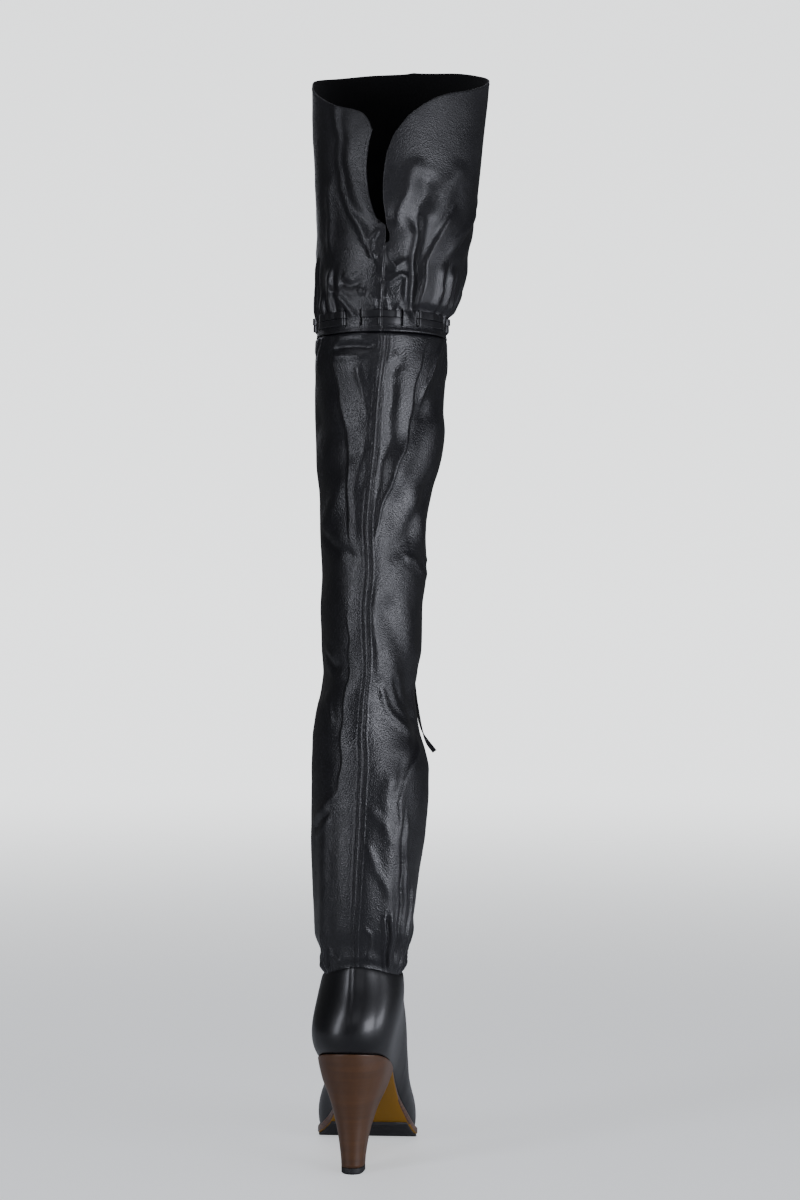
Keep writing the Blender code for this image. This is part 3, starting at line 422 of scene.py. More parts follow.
def section_at(rows, height, width, depth):
    """Half sizes, middle and seam of the section that a table gives at a height share."""
    at = {name: through(rows["height"], column, height) for name, column in rows.items()}
    return (at["width"] * width / 2, at["depth"] * depth / 2, at["across"] * width,
            at["middle"] * depth, at["seam"] * width, at.get("point", 1.0))


def shaft_section(level):
    """Section of the leg at a height share."""
    return section_at(SHAFT, level, CALF_WIDTH, CALF_DEPTH)


def cuff_section(z):
    """Section of the cuff at a height in metres."""
    return section_at(CUFF, (z - CUFF_BASE) / CUFF_HEIGHT, CUFF_WIDTH, CUFF_DEPTH)


def main_folds(angle, level):
    """How far the slouch's main folds push the leather out or in, in millimetres."""
    total = np.zeros(angle.shape)
    for angle_a, height_a, angle_b, height_b, reach, depth in FOLDS:
        turn = turned(angle - angle_a) + angle_a
        start = (math.radians(angle_a) * MEAN_RADIUS, height_a * SHAFT_LENGTH)
        run = (math.radians(angle_b) * MEAN_RADIUS - start[0], height_b * SHAFT_LENGTH - start[1])
        du, dv = np.radians(turn) * MEAN_RADIUS - start[0], level * SHAFT_LENGTH - start[1]
        share = np.clip((du * run[0] + dv * run[1]) / (run[0] ** 2 + run[1] ** 2), 0.0, 1.0)
        away = np.hypot(du - share * run[0], dv - share * run[1])
        total += depth * np.exp(-(away / (reach * CALF_WIDTH)) ** 2)
    return total * FOLD_DEPTH


def leg_point(angle, level, lift=0.0, fine=True):
    """Points of the leg's leather, lifted off it by so many metres, and the way out at each."""
    angle, level = np.broadcast_arrays(np.asarray(angle, float), np.asarray(level, float))
    section = shaft_section(level)
    seam_turn = np.degrees(np.arcsin(section[4] / section[0]))
    x, y, out = oval(section, angle)
    follow = through([0.0, 0.22], [1.0, 0.0], level)
    z = SHAFT_BASE + level * SHAFT_LENGTH + follow * (topline(angle + seam_turn) - SHAFT_BASE)
    turn = np.radians(angle + seam_turn)
    tuck = UPPER_WALL + 0.0006
    low_x = ANKLE_OFFSET + (ANKLE_WIDTH / 2 - tuck) * np.sin(turn)
    low_y = ANKLE_MIDDLE - (ANKLE_DEPTH / 2 - tuck) * np.cos(turn)
    band = cuff_section(LACE_BASE + LACE_WIDTH + 0.0 * level)
    top_x, top_y, _ = oval(band, angle, CUFF_WALL + TOP_INSET)
    low, high = 1 - ease(0.001, 0.016, level), ease(0.9875, 0.9920, level)
    x = mix(mix(x, low_x, low), top_x, high)
    y = mix(mix(y, low_y, low), top_y, high)
    free = ease(0.0, 0.020, level) * (1 - ease(0.980, 0.990, level))
    push = main_folds(angle, level) * free
    if fine:
        height = 1000 * (SHAFT_BASE + level * SHAFT_LENGTH)
        near_seam = np.exp(-(turned(angle) * MM_ROUND / 9.0) ** 2)
        small = creased(turned(angle), height, LEG_CREASES)
        small += uneven(angle, height, (11, 20), 0.80, 3) + uneven(angle, height, (34, 64), 0.14, 5)
        small += uneven(angle, height, (90, 170), 0.04, 7)
        hug = ease(-0.004, 0.012, level) * (1 - 0.8 * ease(0.986, 0.992, level))
        push = push + small * (1 - 0.72 * near_seam) * hug
        away = np.abs(turned(angle)) * MM_ROUND
        push += 0.3 * (1 - ease(4.8, 6.8, away)) - 0.6 * np.exp(-(away / 0.5) ** 2)
        push -= 0.10 * np.exp(-((away - SEAM_ROW) / 0.5) ** 2)
    points = np.stack([x, y, z], axis=-1) + out * (push[..., None] / 1000 + lift)
    return points, out


# %% [markdown]
# A piece of leather starts as a flat grid, as it was cut, and is then rolled up: every point of the
# grid is laid at its place on the boot, and the two long edges are merged where they were sewn.

# %% Roll up a flat sheet
SEAM_MERGE = 0.00002


def points_of(piece):
    """The piece's points as rows of an array."""
    points = np.empty(len(piece.data.vertices) * 3, dtype=np.float32)
    piece.data.vertices.foreach_get("co", points)
    return points.reshape(-1, 3)


def lay_points(piece, points):
    """Move the piece's points to the rows of an array."""
    piece.data.vertices.foreach_set("co", np.ascontiguousarray(points, dtype=np.float32).ravel())
    piece.data.update()


def roll_up(name, across, upward, place, closed=True):
    """A grid whose points are laid by place(across, upward); closed merges its two long edges."""
    columns, rows = len(across) - 1, len(upward) - 1
    deselect()
    bpy.ops.mesh.primitive_grid_add(x_subdivisions=columns, y_subdivisions=rows, size=1.0)
    piece = bpy.context.object
    piece.name = name
    piece.data.name = name
    flat = points_of(piece) + 0.5
    i = np.rint(flat[:, 0] * columns).astype(int)
    j = np.rint(flat[:, 1] * rows).astype(int)
    lay_points(piece, place(np.asarray(across)[i], np.asarray(upward)[j]))
    if closed:
        edit_all()
        bpy.ops.mesh.remove_doubles(threshold=SEAM_MERGE)
        bpy.ops.object.mode_set(mode="OBJECT")
    bpy.ops.object.shade_smooth()
    return piece


def finish_piece(piece, slot, *replaced, material=None):
    """Say what a piece rides on, hide the nodes it stands for, and give it its finish; the slot is not
    used.
    """
    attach(piece, "root")
    if replaced:
        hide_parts(*replaced)
    if material:
        piece.data.materials.clear()
        piece.data.materials.append(material)
    triangles = sum(len(p.vertices) - 2 for p in piece.data.polygons)
    print(piece.name, "has", triangles, "triangles")


def back_heavy(count, pull):
    """Angles once round the leg, closer together at the back seam."""
    u = np.linspace(0.0, 1.0, count + 1)
    return 360.0 * (u - pull * np.sin(2 * np.pi * u) / (2 * np.pi))


# %% [markdown]
# ## Finishes
# Every finish starts from what the real one is. Colours are sRGB hex values, turned to linear by
# one function, and one small function adds a node with its settings and links.

# %% Material tools


def rgb(code):
    """Linear colour of an sRGB hex value."""
    parts = [int(code[i:i + 2], 16) / 255 for i in (1, 3, 5)]
    return [c / 12.92 if c <= 0.04045 else ((c + 0.055) / 1.055) ** 2.4 for c in parts] + [1.0]


def add(tree, kind, settings=(), **links):
    """Add a node with its settings, and link its inputs from the sockets that are named."""
    made = tree.nodes.new("ShaderNode" + kind)
    for name, value in dict(settings).items():
        if name in made.inputs:
            made.inputs[name].default_value = value
        else:
            setattr(made, name, value)
    for name, source in links.items():
        tree.links.new(source, made.inputs[name.replace("_", " ")])
    return made


def feed(tree, made, *sources):
    """Give a node's inputs in their order a socket or a number each; returns its first output."""
    for socket, source in zip(made.inputs, sources):
        if isinstance(source, float):
            socket.default_value = source
        else:
            tree.links.new(source, socket)
    return made.outputs[0]


def span(tree, value, low, high, start, end):
    """Value that goes from start to end as another goes from low to high."""
    settings = {"From Min": low, "From Max": high, "To Min": start, "To Max": end}
    return add(tree, "MapRange", settings, Value=value).outputs["Result"]


def noise(tree, place, scale, detail, **more):
    """Value of a noise; its scale is one number, or three where the cells are stretched."""
    if isinstance(scale, tuple):
        place = add(tree, "Mapping", {"Scale": scale}, Vector=place).outputs["Vector"]
        scale = 1.0
    return add(tree, "TexNoise", {"Scale": scale, "Detail": detail, **more}, Vector=place).outputs["Fac"]


def bumps(tree, shader, *layers):
    """Set the shader's normal from bumps of (strength, distance in metres, height), one on another."""
    under = {}
    for strength, distance, height in layers:
        bump = add(tree, "Bump", {"Strength": strength, "Distance": distance}, Height=height, **under)
        under = {"Normal": bump.outputs["Normal"]}
    tree.links.new(under["Normal"], shader.inputs["Normal"])


def ramp(tree, value, *stops):
    """Colour that runs through stops of (place, hex value) as the value rises."""
    made = add(tree, "ValToRGB", Fac=value)
    if len(stops) == 3:
        made.color_ramp.elements.new(0.5)
    for element, (at, colour) in zip(made.color_ramp.elements, stops):
        element.position = at
        element.color = rgb(colour)
    return made.outputs["Color"]


def new_finish(name, colour, roughness, **more):
    """New material with its Principled shader set, and its object coordinates."""
    material = bpy.data.materials.new(name)
    material.use_nodes = True
    tree = material.node_tree
    shader = tree.nodes["Principled BSDF"]
    shader.inputs["Base Color"].default_value = rgb(colour)
    shader.inputs["Roughness"].default_value = roughness
    for name, value in more.items():
        shader.inputs[name.replace("_", " ")].default_value = value
    return material, tree, shader, add(tree, "TexCoord").outputs["Object"]


# %% [markdown]
# **Soft nappa leather.** Thin, aniline dyed and lightly waxed, so it shines in broad soft patches
# that its pebbled grain breaks up. Grain cells of about 0.9 mm and hair-fine wrinkles of 3 to 6 mm
# are both bumps.

# %% Soft leather
soft_leather, tree, shader, place = new_finish("soft_nappa_leather", "#0e0e12", 0.44, IOR=1.5)
grain = add(tree, "TexVoronoi", {"feature": "SMOOTH_F1", "Scale": 1050.0, "Smoothness": 0.6}, Vector=place)
wrinkle = noise(tree, place, 190.0, 4.0, Roughness=0.6, Distortion=0.6)
bumps(tree, shader, (0.5, 0.0005, grain.outputs["Distance"]), (0.10, 0.0012, wrinkle))
patches = noise(tree, place, 38.0, 3.0)
height = add(tree, "SeparateXYZ", Vector=place).outputs["Z"]
wear = span(tree, patches, 0.3, 0.7, 0.28, 0.42)
flare = span(tree, height, 0.76, 0.88, 0.0, 0.2)
dull = feed(tree, add(tree, "Math", {"operation": "ADD"}), wear, flare)
tree.links.new(dull, shader.inputs["Roughness"])

# %% [markdown]
# **Box calf.** The foot part is smooth, polished calf with a tighter grain: darker, with clear
# narrow reflections, so its coat is strong and its bump barely shows.

# %% Glossy calf
glossy_calf, tree, shader, place = new_finish("polished_box_calf", "#0b0b0e", 0.38, IOR=1.4,
                                              Coat_Weight=0.3, Coat_Roughness=0.2)
bumps(tree, shader, (0.06, 0.0003, noise(tree, place, 1400.0, 2.0)),
      (0.05, 0.002, noise(tree, place, 60.0, 2.0)))

# %% [markdown]
# **Suede lining.** The inside is black suede: no gloss at all, only a faint nap.

# %% Suede
suede_lining, tree, shader, place = new_finish("black_suede_lining", "#0a0a0b", 0.95, Sheen_Weight=0.04,
                                               Sheen_Roughness=0.6, Specular_IOR_Level=0.1)
bumps(tree, shader, (0.3, 0.0004, noise(tree, place, 900.0, 3.0)))

# %% [markdown]
# **Lace leather and thread.** The lace is a flat strip of the same leather with cut edges, a
# little shinier, and the seams are sewn with waxed polyester thread.

# %% Lace and thread
lace_leather, tree, shader, place = new_finish("flat_lace_leather", "#141417", 0.32, IOR=1.5)
bumps(tree, shader, (0.15, 0.0003, noise(tree, place, 800.0, 3.0)))
thread, tree, shader, place = new_finish("waxed_black_thread", "#141416", 0.5)
twist = add(tree, "TexWave", {"bands_direction": "DIAGONAL", "Scale": 900.0}, Vector=place)
bumps(tree, shader, (0.3, 0.0002, twist.outputs["Fac"]))

# %% [markdown]
# ## The lace's two free ends
# They hang from the knot in front of the cuff along the leg, and the outer one turns outwards at
# the end. A flat lace is a thin strip swept along its route, its face towards the leg.

# %% Lace ends
LATERAL_END = (
    (16.8, 127.3, 675.1), (17.6, 126.6, 655.0), (19.5, 125.4, 630.0), (22.0, 124.2, 600.0),
    (25.0, 121.8, 570.0), (27.5, 118.6, 540.0), (30.0, 115.6, 510.0), (33.0, 112.4, 480.0),
    (36.0, 108.6, 450.0), (38.5, 103.6, 420.0), (41.5, 97.6, 395.0), (45.0, 91.6, 370.0),
    (49.5, 86.8, 350.0), (54.5, 84.6, 339.5), (60.5, 84.0, 331.5),
)
MEDIAL_END = (
    (10.7, 127.3, 675.1), (10.2, 126.9, 650.0), (9.5, 126.4, 620.0), (8.5, 125.8, 590.0),
    (7.5, 124.6, 560.0), (6.5, 123.6, 530.0), (5.0, 122.8, 500.0), (3.5, 121.8, 470.0),
    (2.5, 120.6, 440.0), (2.0, 119.4, 410.0), (2.0, 118.6, 385.0), (2.5, 118.2, 360.0),
)


def unit(vectors):
    """Vectors of length one."""
    return vectors / np.maximum(np.linalg.norm(vectors, axis=-1, keepdims=True), 1e-12)


def strip(name, points, outward, width, thickness=LACE_THICKNESS):
    """Flat strip with softened edges along a path, its face towards outward, closed at both ends."""
    points = np.asarray(points, dtype=float)
    run = unit(np.gradient(points, axis=0))
    across = unit(np.cross(run, outward))
    out = unit(np.cross(across, run))
    half, thin = width / 2, thickness / 2
    profile = [(-half, -thin * 0.4), (-half, thin * 0.4), (-half * 0.9, thin), (0.0, thin * 1.15),
               (half * 0.9, thin), (half, thin * 0.4), (half, -thin * 0.4), (half * 0.9, -thin),
               (0.0, -thin), (-half * 0.9, -thin)]
    a, b = np.array([*profile, profile[0]]).T

    def lay(column, row):
        i, j = column.astype(int), row.astype(int)
        return points[j] + across[j] * a[i][:, None] + out[j] * b[i][:, None]

    piece = roll_up(name, np.arange(len(a)), np.arange(len(points)), lay)
    edit_all()
    bpy.ops.mesh.region_to_loop()
    bpy.ops.mesh.fill_holes(sides=0)
    bpy.ops.mesh.select_all(action="SELECT")
    bpy.ops.mesh.normals_make_consistent(inside=False)
    bpy.ops.object.mode_set(mode="OBJECT")
    bpy.ops.object.shade_smooth_by_angle(angle=math.radians(40))
    return piece


def lace_end(name, route, node, turn):
    """One hanging end of the lace, a cord; turn says how far its tip twists to show its face."""
    points = np.array(route) / 1000
    share = np.linspace(0.0, 1.0, len(points))
    dense = np.linspace(0.0, 1.0, 60)
    path = np.stack([through(share, points[:, k], dense) for k in range(3)], axis=1)
    level = (path[:, 2] - SHAFT_BASE) / SHAFT_LENGTH
    half_width, half_depth, across, middle, _, _ = shaft_section(level)
    outward = unit(np.stack([(path[:, 0] - across) / half_width ** 2,
                             (path[:, 1] - middle) / half_depth ** 2, 0 * level], axis=1))
    outward = unit(mix(outward, np.array([0.7, -0.9, 0.2]), turn * ease(0.80, 0.97, dense)[:, None]))
    piece = strip(name, path, outward, LACE_WIDTH)
    finish_piece(piece, "lace_leather", node, material=lace_leather)


lace_end("lace_end_outer", LATERAL_END, "lace_end_lateral", 0.7)
lace_end("lace_end_inner", MEDIAL_END, "lace_end_medial", 0.0)

# %% [markdown]
# ## The soft leg
# The grid's columns are close together at the back seam, which the camera sees, and wider in
# front. Its lining is made after the cuff, whose wall it joins.

# %% Leg
LEG_COLUMNS = 248
LEG_ROWS = 352
leg = roll_up("leg_leather", back_heavy(LEG_COLUMNS, 0.72), np.linspace(LOWEST_LEVEL, 1.0, LEG_ROWS + 1),
              lambda angle, level: leg_point(angle, level)[0])
finish_piece(leg, "soft_leather", "shaft", material=soft_leather)

# %% [markdown]
# ## The cuff
# The cuff is rolled up in the same way, but above its notch the two edges stay apart and curve
# away from each other, which makes the deep slit behind. Its columns and rows are snapped to the
# edges of the slots, whose faces are then deleted, and a Solidify modifier gives the wall.

# %% Folds of the cuff
CUFF_CREASES = [
    ("ridge", 2.0, 3.5, (-46, 872), (-42, 852), (-38, 820), (-35, 788), (-29, 766), (-18, 748), (-8, 728),
     (-3, 714)),
    ("ridge", 1.8, 7.0, (-32, 850), (-31, 818), (-26, 790), (-15, 766), (-7, 754)),
    ("ridge", -2.2, 6.0, (-39, 840), (-36, 810), (-33, 780), (-27, 758)),
    ("ridge", 1.4, 4.0, (-46, 800), (-50, 760), (-48, 730)),
    ("ridge", 1.8, 3.0, (-7, 754), (-11, 744), (-10, 734), (-5, 726)),
    ("ridge", 2.0, 3.0, (-50, 712), (-41, 702), (-35, 698), (-30, 690), (-21, 680)),
    ("trough", 1.4, 3.0, (-36, 712), (-24, 708), (-12, 712)),
    ("ridge", 1.0, 2.5, (-19, 703), (-15, 703), (-12, 702)),
    ("ridge", 1.4, 2.4, (-9, 702), (-6, 696), (-7, 688)),
    ("ridge", 2.2, 6.0, (28, 812), (20, 788), (10, 766), (6, 750)),
    ("ridge", 2.6, 7.5, (63, 812), (48, 786), (37, 764), (30, 748)),
    ("ridge", -2.0, 6.0, (38, 800), (30, 782), (22, 764), (17, 748)),
    ("ridge", 1.6, 3.0, (1, 738), (6, 726), (10, 722), (17, 726), (20, 732)),
    ("ridge", 1.8, 2.6, (1, 717), (2, 712), (6, 710), (11, 714), (15, 716), (19, 714), (20, 706),
     (21, 700), (20, 694), (17, 692)),
    ("ridge", 1.2, 2.0, (20, 682), (19, 689), (16, 692), (13, 690), (11, 682)),
    ("ridge", 1.2, 1.8, (3, 701), (5, 694), (5, 686)),
    ("ridge", -4.2, 4.2, (26, 770), (24, 744), (25, 720), (26, 704), (28, 690), (26, 674)),
    ("lap", 3.0, 6.0, (56, 778), (46, 756), (38, 742), (35, 728), (35, 714), (34, 702), (33, 694),
     (34, 676)),
    ("ridge", 1.8, 5.0, (96, 778), (76, 760), (58, 742), (46, 730)),
    ("trough", 1.8, 4.5, (112, 786), (90, 765), (70, 746), (54, 732)),
    ("ridge", 1.2, 3.0, (52, 712), (54, 698), (50, 684)),
]
for number, angle in enumerate([*range(48, 132, 13), *range(136, 226, 15), *range(232, 318, 13)]):
    tall = 34 + 22 * math.sin(2.3 * number + 0.5)
    CUFF_CREASES.append(("ridge", 2.0, 4.2, (angle, 672), (angle + 2, 690), (angle + 5, 690 + tall)))
    CUFF_CREASES.append(("trough", 1.3, 3.0, (angle + 6, 680), (angle + 8, 700 + 0.7 * tall)))
for angle, low, high, depth in ((120, 730, 850, 3.0), (152, 720, 880, -2.6), (182, 725, 840, 3.0),
                                (214, 730, 880, -2.6), (244, 730, 850, 3.0), (275, 740, 840, -2.0)):
    CUFF_CREASES.append(("ridge", depth, 11.0, (angle, low), (angle + 4, (low + high) / 2), (angle, high)))


def slit_angle(side, rise, column):
    """Angle of a cuff column above the notch, between the slit's edge and the front."""
    offset = np.where(side > 0, through(SLIT["rise"], SLIT["lateral"], rise),
                      -through(SLIT["rise"], SLIT["medial"], rise))
    edge = np.degrees(np.arcsin(2 * offset))
    return mix(edge, 180.0, column / 180.0)


def cuff_place(turn, share):
    """Angle and height in metres on the cuff for a turn of 0 to 360 degrees and a share of its rows."""
    side = np.where(turn <= 180.0, 1.0, -1.0)
    column = np.where(turn <= 180.0, turn, 360.0 - turn)
    low = np.minimum(share / NOTCH_SHARE, 1.0)
    rise = np.clip((share - NOTCH_SHARE) / (1 - NOTCH_SHARE), 0.0, 1.0)
    at_rim = slit_angle(side, np.ones_like(rise), column)
    rim = np.where(side > 0, through(RIM["angle"], RIM["lateral"], at_rim),
                   through(RIM["angle"], RIM["medial"], at_rim))
    above = slit_angle(side, rise, column)
    angle = side * np.where(share > NOTCH_SHARE, above, column)
    z = np.where(share > NOTCH_SHARE, mix(NOTCH_HEIGHT, CUFF_BASE + CUFF_HEIGHT * rim, rise),
                 mix(CUFF_BASE, NOTCH_HEIGHT, low))
    return angle, z


def cuff_point(angle, z, lift=0.0):
    """Points of the cuff's leather, lifted off it, and the way out at each."""
    angle, z = np.broadcast_arrays(np.asarray(angle, float), np.asarray(z, float))
    x, y, out = oval(cuff_section(z), angle)
    height = 1000 * z
    push = creased(turned(angle), height, CUFF_CREASES)
    push += uneven(angle, height, (10, 20), 0.8, 11) + uneven(angle, height, (36, 70), 0.12, 13)
    band = 1 - ease(683.0, 694.0, height)
    under_bar = ease(-0.6, 0.2, np.cos(np.radians(angle) * LACE_BARS))
    push *= 1 - band * mix(0.15, 0.80, under_bar)
    push = np.where(band > 0, np.maximum(push, -2.4 - 3.0 * (1 - band)), push)
    away = np.abs(turned(angle)) * MM_ROUND
    below = 1 - ease(1000 * NOTCH_HEIGHT - 3, 1000 * NOTCH_HEIGHT + 1, height)
    push -= 0.7 * np.exp(-(away / 0.6) ** 2) * below
    points = np.stack([x, y, z], axis=-1) + out * (push[..., None] / 1000 + lift)
    return points, out


# %% Cuff
SLOT_ANGLE = math.degrees(SLOT_WIDTH / (2 * MEAN_RADIUS))
SLOT_LOW = LACE_BASE - 0.0005
SLOT_HIGH = SLOT_LOW + 2 * LACE_WIDTH + 0.0013
CUFF_COLUMNS = 252
LINING_COLUMNS = 192
LINING_ROWS = 140


def snap(values, goals):
    """Move the nearest value onto each goal."""
    for goal in goals:
        values[int(np.argmin(np.abs(values - goal)))] = goal
    return values


side_bars = range(1, LACE_BARS // 2 + 1)
bar_ends = [bar * BAR_PITCH + end * BAR_ANGLE / 2 for bar in side_bars for end in (-1, 1)]
SLOTS = [m for a in (BAR_ANGLE / 2, *bar_ends[:-1]) for m in (a, 360.0 - a)]
edges = [m + s * SLOT_ANGLE / 2 for m in SLOTS for s in (-1, 1)]
turns = snap(back_heavy(CUFF_COLUMNS, 0.6), edges)
row_share = np.concatenate([np.linspace(0.0, NOTCH_SHARE, 53), np.linspace(NOTCH_SHARE, 1.0, 96)[1:]])
slot_rows = [NOTCH_SHARE * (z - CUFF_BASE) / (NOTCH_HEIGHT - CUFF_BASE) for z in (SLOT_LOW, SLOT_HIGH)]
row_share = snap(row_share, slot_rows)
cuff = roll_up("cuff_leather", turns, row_share,
               lambda turn, share: cuff_point(*cuff_place(turn, share))[0], closed=False)

mid_turn = (turns[:-1] + turns[1:]) / 2
mid_row = (row_share[:-1] + row_share[1:]) / 2
in_slot = np.array([min(abs(turn - m) for m in SLOTS) < SLOT_ANGLE / 2 for turn in mid_turn])
in_band = (mid_row > slot_rows[0]) & (mid_row < slot_rows[1])
bpy.ops.object.mode_set(mode="EDIT")
bpy.ops.mesh.select_mode(type="FACE")
bpy.ops.object.mode_set(mode="OBJECT")
cuff.data.polygons.foreach_set("select", (in_band[:, None] & in_slot[None, :]).ravel())
bpy.ops.object.mode_set(mode="EDIT")
bpy.ops.mesh.delete(type="FACE")
bpy.ops.mesh.select_mode(type="VERT")
bpy.ops.mesh.select_all(action="SELECT")
bpy.ops.mesh.remove_doubles(threshold=SEAM_MERGE)
bpy.ops.object.mode_set(mode="OBJECT")
finish_piece(cuff, "soft_leather", "cuff", material=soft_leather)
cuff.data.materials.append(suede_lining)
wall = cuff.modifiers.new("Wall", "SOLIDIFY")
wall.thickness = CUFF_WALL
wall.offset = -1
wall.use_rim = True
wall.material_offset = 1
wall.material_offset_rim = 0
bpy.context.view_layer.objects.active = cuff
bpy.ops.object.modifier_apply(modifier="Wall")


def leg_lining_point(angle, level):
    """Points of the leg's suede lining, which turns out into the cuff's wall at its top edge."""
    points, _ = leg_point(angle, np.minimum(level, 1.0), -LINING_DEPTH, fine=False)
    edge, _ = cuff_point(angle, points[..., 2], -CUFF_WALL / 2)
    return mix(points, edge, ease(0.992, 1.0, level)[..., None])


lining = roll_up("leg_lining", np.linspace(360.0, 0.0, LINING_COLUMNS + 1),
                 np.linspace(LOWEST_LEVEL, 1.0, LINING_ROWS + 1), leg_lining_point)
finish_piece(lining, "insole_suede", material=suede_lining)

# %% [markdown]
# ## The lace round the cuff
# Two strips, one above the other, dip through the slots: outside along each bar, inside between
# them. They follow the cuff's own surface, so that they never float.

# %% Lace round the cuff
KNOT_HALF = 5.0


def strand(name, node, low, hidden=()):
    """One round of the lace: its route over and under the cuff from the knot and back to it."""
    turn = np.arange(180.0 + KNOT_HALF, 540.0 - KNOT_HALF + 0.3, 0.5)
    outside = np.zeros(turn.shape)
    stops = sorted(s if s > 180 else s + 360 for s in SLOTS)
    for number, (start, stop) in enumerate(zip([180.0, *stops], [*stops, 540.0])):
        outside[(turn >= start) & (turn < stop)] = 1 - number % 2
    for start, stop in hidden:
        outside[(turn >= start + 360) & (turn < stop + 360)] = 0.0
    soft = np.convolve(np.pad(outside, 3, mode="edge"), np.array([1, 2, 3, 4, 3, 2, 1]) / 16, mode="valid")
    lift = mix(-(CUFF_WALL + LACE_GAP + LACE_THICKNESS / 2), 2 * LACE_GAP + LACE_THICKNESS / 2, soft)
    z = np.full(turn.shape, low + LACE_WIDTH / 2)
    points, out = cuff_point(turn, z, lift[:, None])
    finish_piece(strip(name, points, out, LACE_WIDTH), "lace_leather", node, material=lace_leather)


strand("lace_round_lower", "lace_lower_strand", LACE_BASE, hidden=((-18.0, -3.0),))
strand("lace_round_upper", "lace_upper_strand", LACE_BASE + LACE_PITCH)

# %% [markdown]
# The knot is a flat turn of the lace round its own two ends: two short loops of strip, one tilted
# over the other.

# %% Knot
KNOT_TALL = 0.0058
KNOT_DEEP = 0.0024
low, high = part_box("lace_knot")
knot_middle = (np.array(low) + np.array(high)) / 2
around = np.linspace(0.0, 2 * np.pi, 33)[:-1]
loops = []
for tilt, size in ((0.12, 1.0), (-0.85, 0.86)):
    tall, deep = KNOT_TALL * size * np.cos(around), KNOT_DEEP * size * np.sin(around)
    ring = np.stack([tall * math.sin(tilt), deep, tall * math.cos(tilt)], axis=1)
    facing = unit(ring * [0.4, 1.0, 0.4])
    ring = np.concatenate([ring, ring[:2]]) + knot_middle
    loops.append(strip("lace_knot_turn", ring, np.concatenate([facing, facing[:2]]), 0.0038, 0.0012))
deselect()
for loop in loops:
    loop.select_set(True)
bpy.context.view_layer.objects.active = loops[0]
bpy.ops.object.join()
knot = bpy.context.object
knot.name = "lace_knot_turns"
finish_piece(knot, "lace_leather", "lace_knot", material=lace_leather)

# %% [markdown]
# ## The foot part and the sole
# These are firm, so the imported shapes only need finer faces. A copy of each solid is turned back to
# quads and smoothed by a Subdivision Surface modifier, with its sharp edges held by creases.

# %% Refine a solid


def refined(node, name, levels, sharp=None):
    """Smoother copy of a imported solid; edges sharper than an angle in degrees keep their line."""
    deselect()
    piece = NODES[node].copy()
    piece.data = NODES[node].data.copy()
    bpy.context.collection.objects.link(piece)
    piece.name = name
    piece.data.name = name
    piece.hide_render = False
    piece.select_set(True)
    bpy.context.view_layer.objects.active = piece
    edit_all()
    bpy.ops.mesh.remove_doubles(threshold=0.00001)
    bpy.ops.mesh.tris_convert_to_quads(face_threshold=math.radians(60), shape_threshold=math.radians(120))
    bpy.ops.object.mode_set(mode="OBJECT")
    bm = bmesh.new()
    bm.from_mesh(piece.data)
    layer = bm.edges.layers.float.get("crease_edge") or bm.edges.layers.float.new("crease_edge")
    for edge in bm.edges:
        if sharp and len(edge.link_faces) == 2 and edge.calc_face_angle() > math.radians(sharp):
            edge[layer] = 1.0
    bm.to_mesh(piece.data)
    bm.free()
    finer = piece.modifiers.new("Finer", "SUBSURF")
    finer.levels = levels
    finer.render_levels = levels
    bpy.ops.object.modifier_apply(modifier="Finer")
    bpy.ops.object.shade_smooth()
    return piece


# %% Foot part
foot = refined("upper", "foot_leather", 3)
points = points_of(foot)
seam_groove = np.exp(-((points[:, 0] + 0.0004) / 0.0009) ** 2)
points[:, 1] += np.where(points[:, 1] < 0.0, 0.00035 * seam_groove, 0.0)
lay_points(foot, points)
finish_piece(foot, "glossy_calf", "upper", material=glossy_calf)

# %% [markdown]
# **Stacked leather.** The heel is built from thin layers of brown leather, sanded and varnished.
# The layers show as fine level lines, some darker than others.

# %% Heel
stacked_heel, tree, shader, place = new_finish("varnished_stacked_leather", "#4a2d1b", 0.42, IOR=1.5,
                                               Coat_Weight=0.15, Coat_Roughness=0.25)
layers = noise(tree, place, (18.0, 18.0, 620.0), 3.0, Roughness=0.65)
bands = noise(tree, place, (10.0, 10.0, 140.0), 1.0)
both = feed(tree, add(tree, "Math", {"operation": "MULTIPLY_ADD"}), layers, 0.62, bands)
tone = ramp(tree, both, (0.35, "#381f08"), (1.0, "#4a2c10"))
tree.links.new(tone, shader.inputs["Base Color"])
bumps(tree, shader, (0.10, 0.0004, layers))
finish_piece(refined("heel", "heel_stack", 2, sharp=38), "stacked_leather", "heel", material=stacked_heel)

# %% [markdown]
# **Sole.** The waist under the arch is finished in a warm metallic tone, the sole's edge is stained
# brown, and the forefoot and the heel's tip are black rubber.

# %% Sole
gold_waist, tree, shader, place = new_finish("gold_finished_waist", "#8c6414", 0.45, Metallic=0.4)
bumps(tree, shader, (0.08, 0.0003, noise(tree, place, (700.0, 60.0, 60.0), 2.0)))
sole_edge, tree, shader, place = new_finish("stained_sole_edge", "#4b2c1a", 0.35, Coat_Weight=0.3)
tone = ramp(tree, noise(tree, place, (40.0, 40.0, 900.0), 2.0), (0.3, "#321c10"), (0.75, "#5e3a23"))
tree.links.new(tone, shader.inputs["Base Color"])
black_rubber, tree, shader, place = new_finish("matt_black_rubber", "#121214", 0.62)
bumps(tree, shader, (0.2, 0.0002, noise(tree, place, 1600.0, 2.0)))

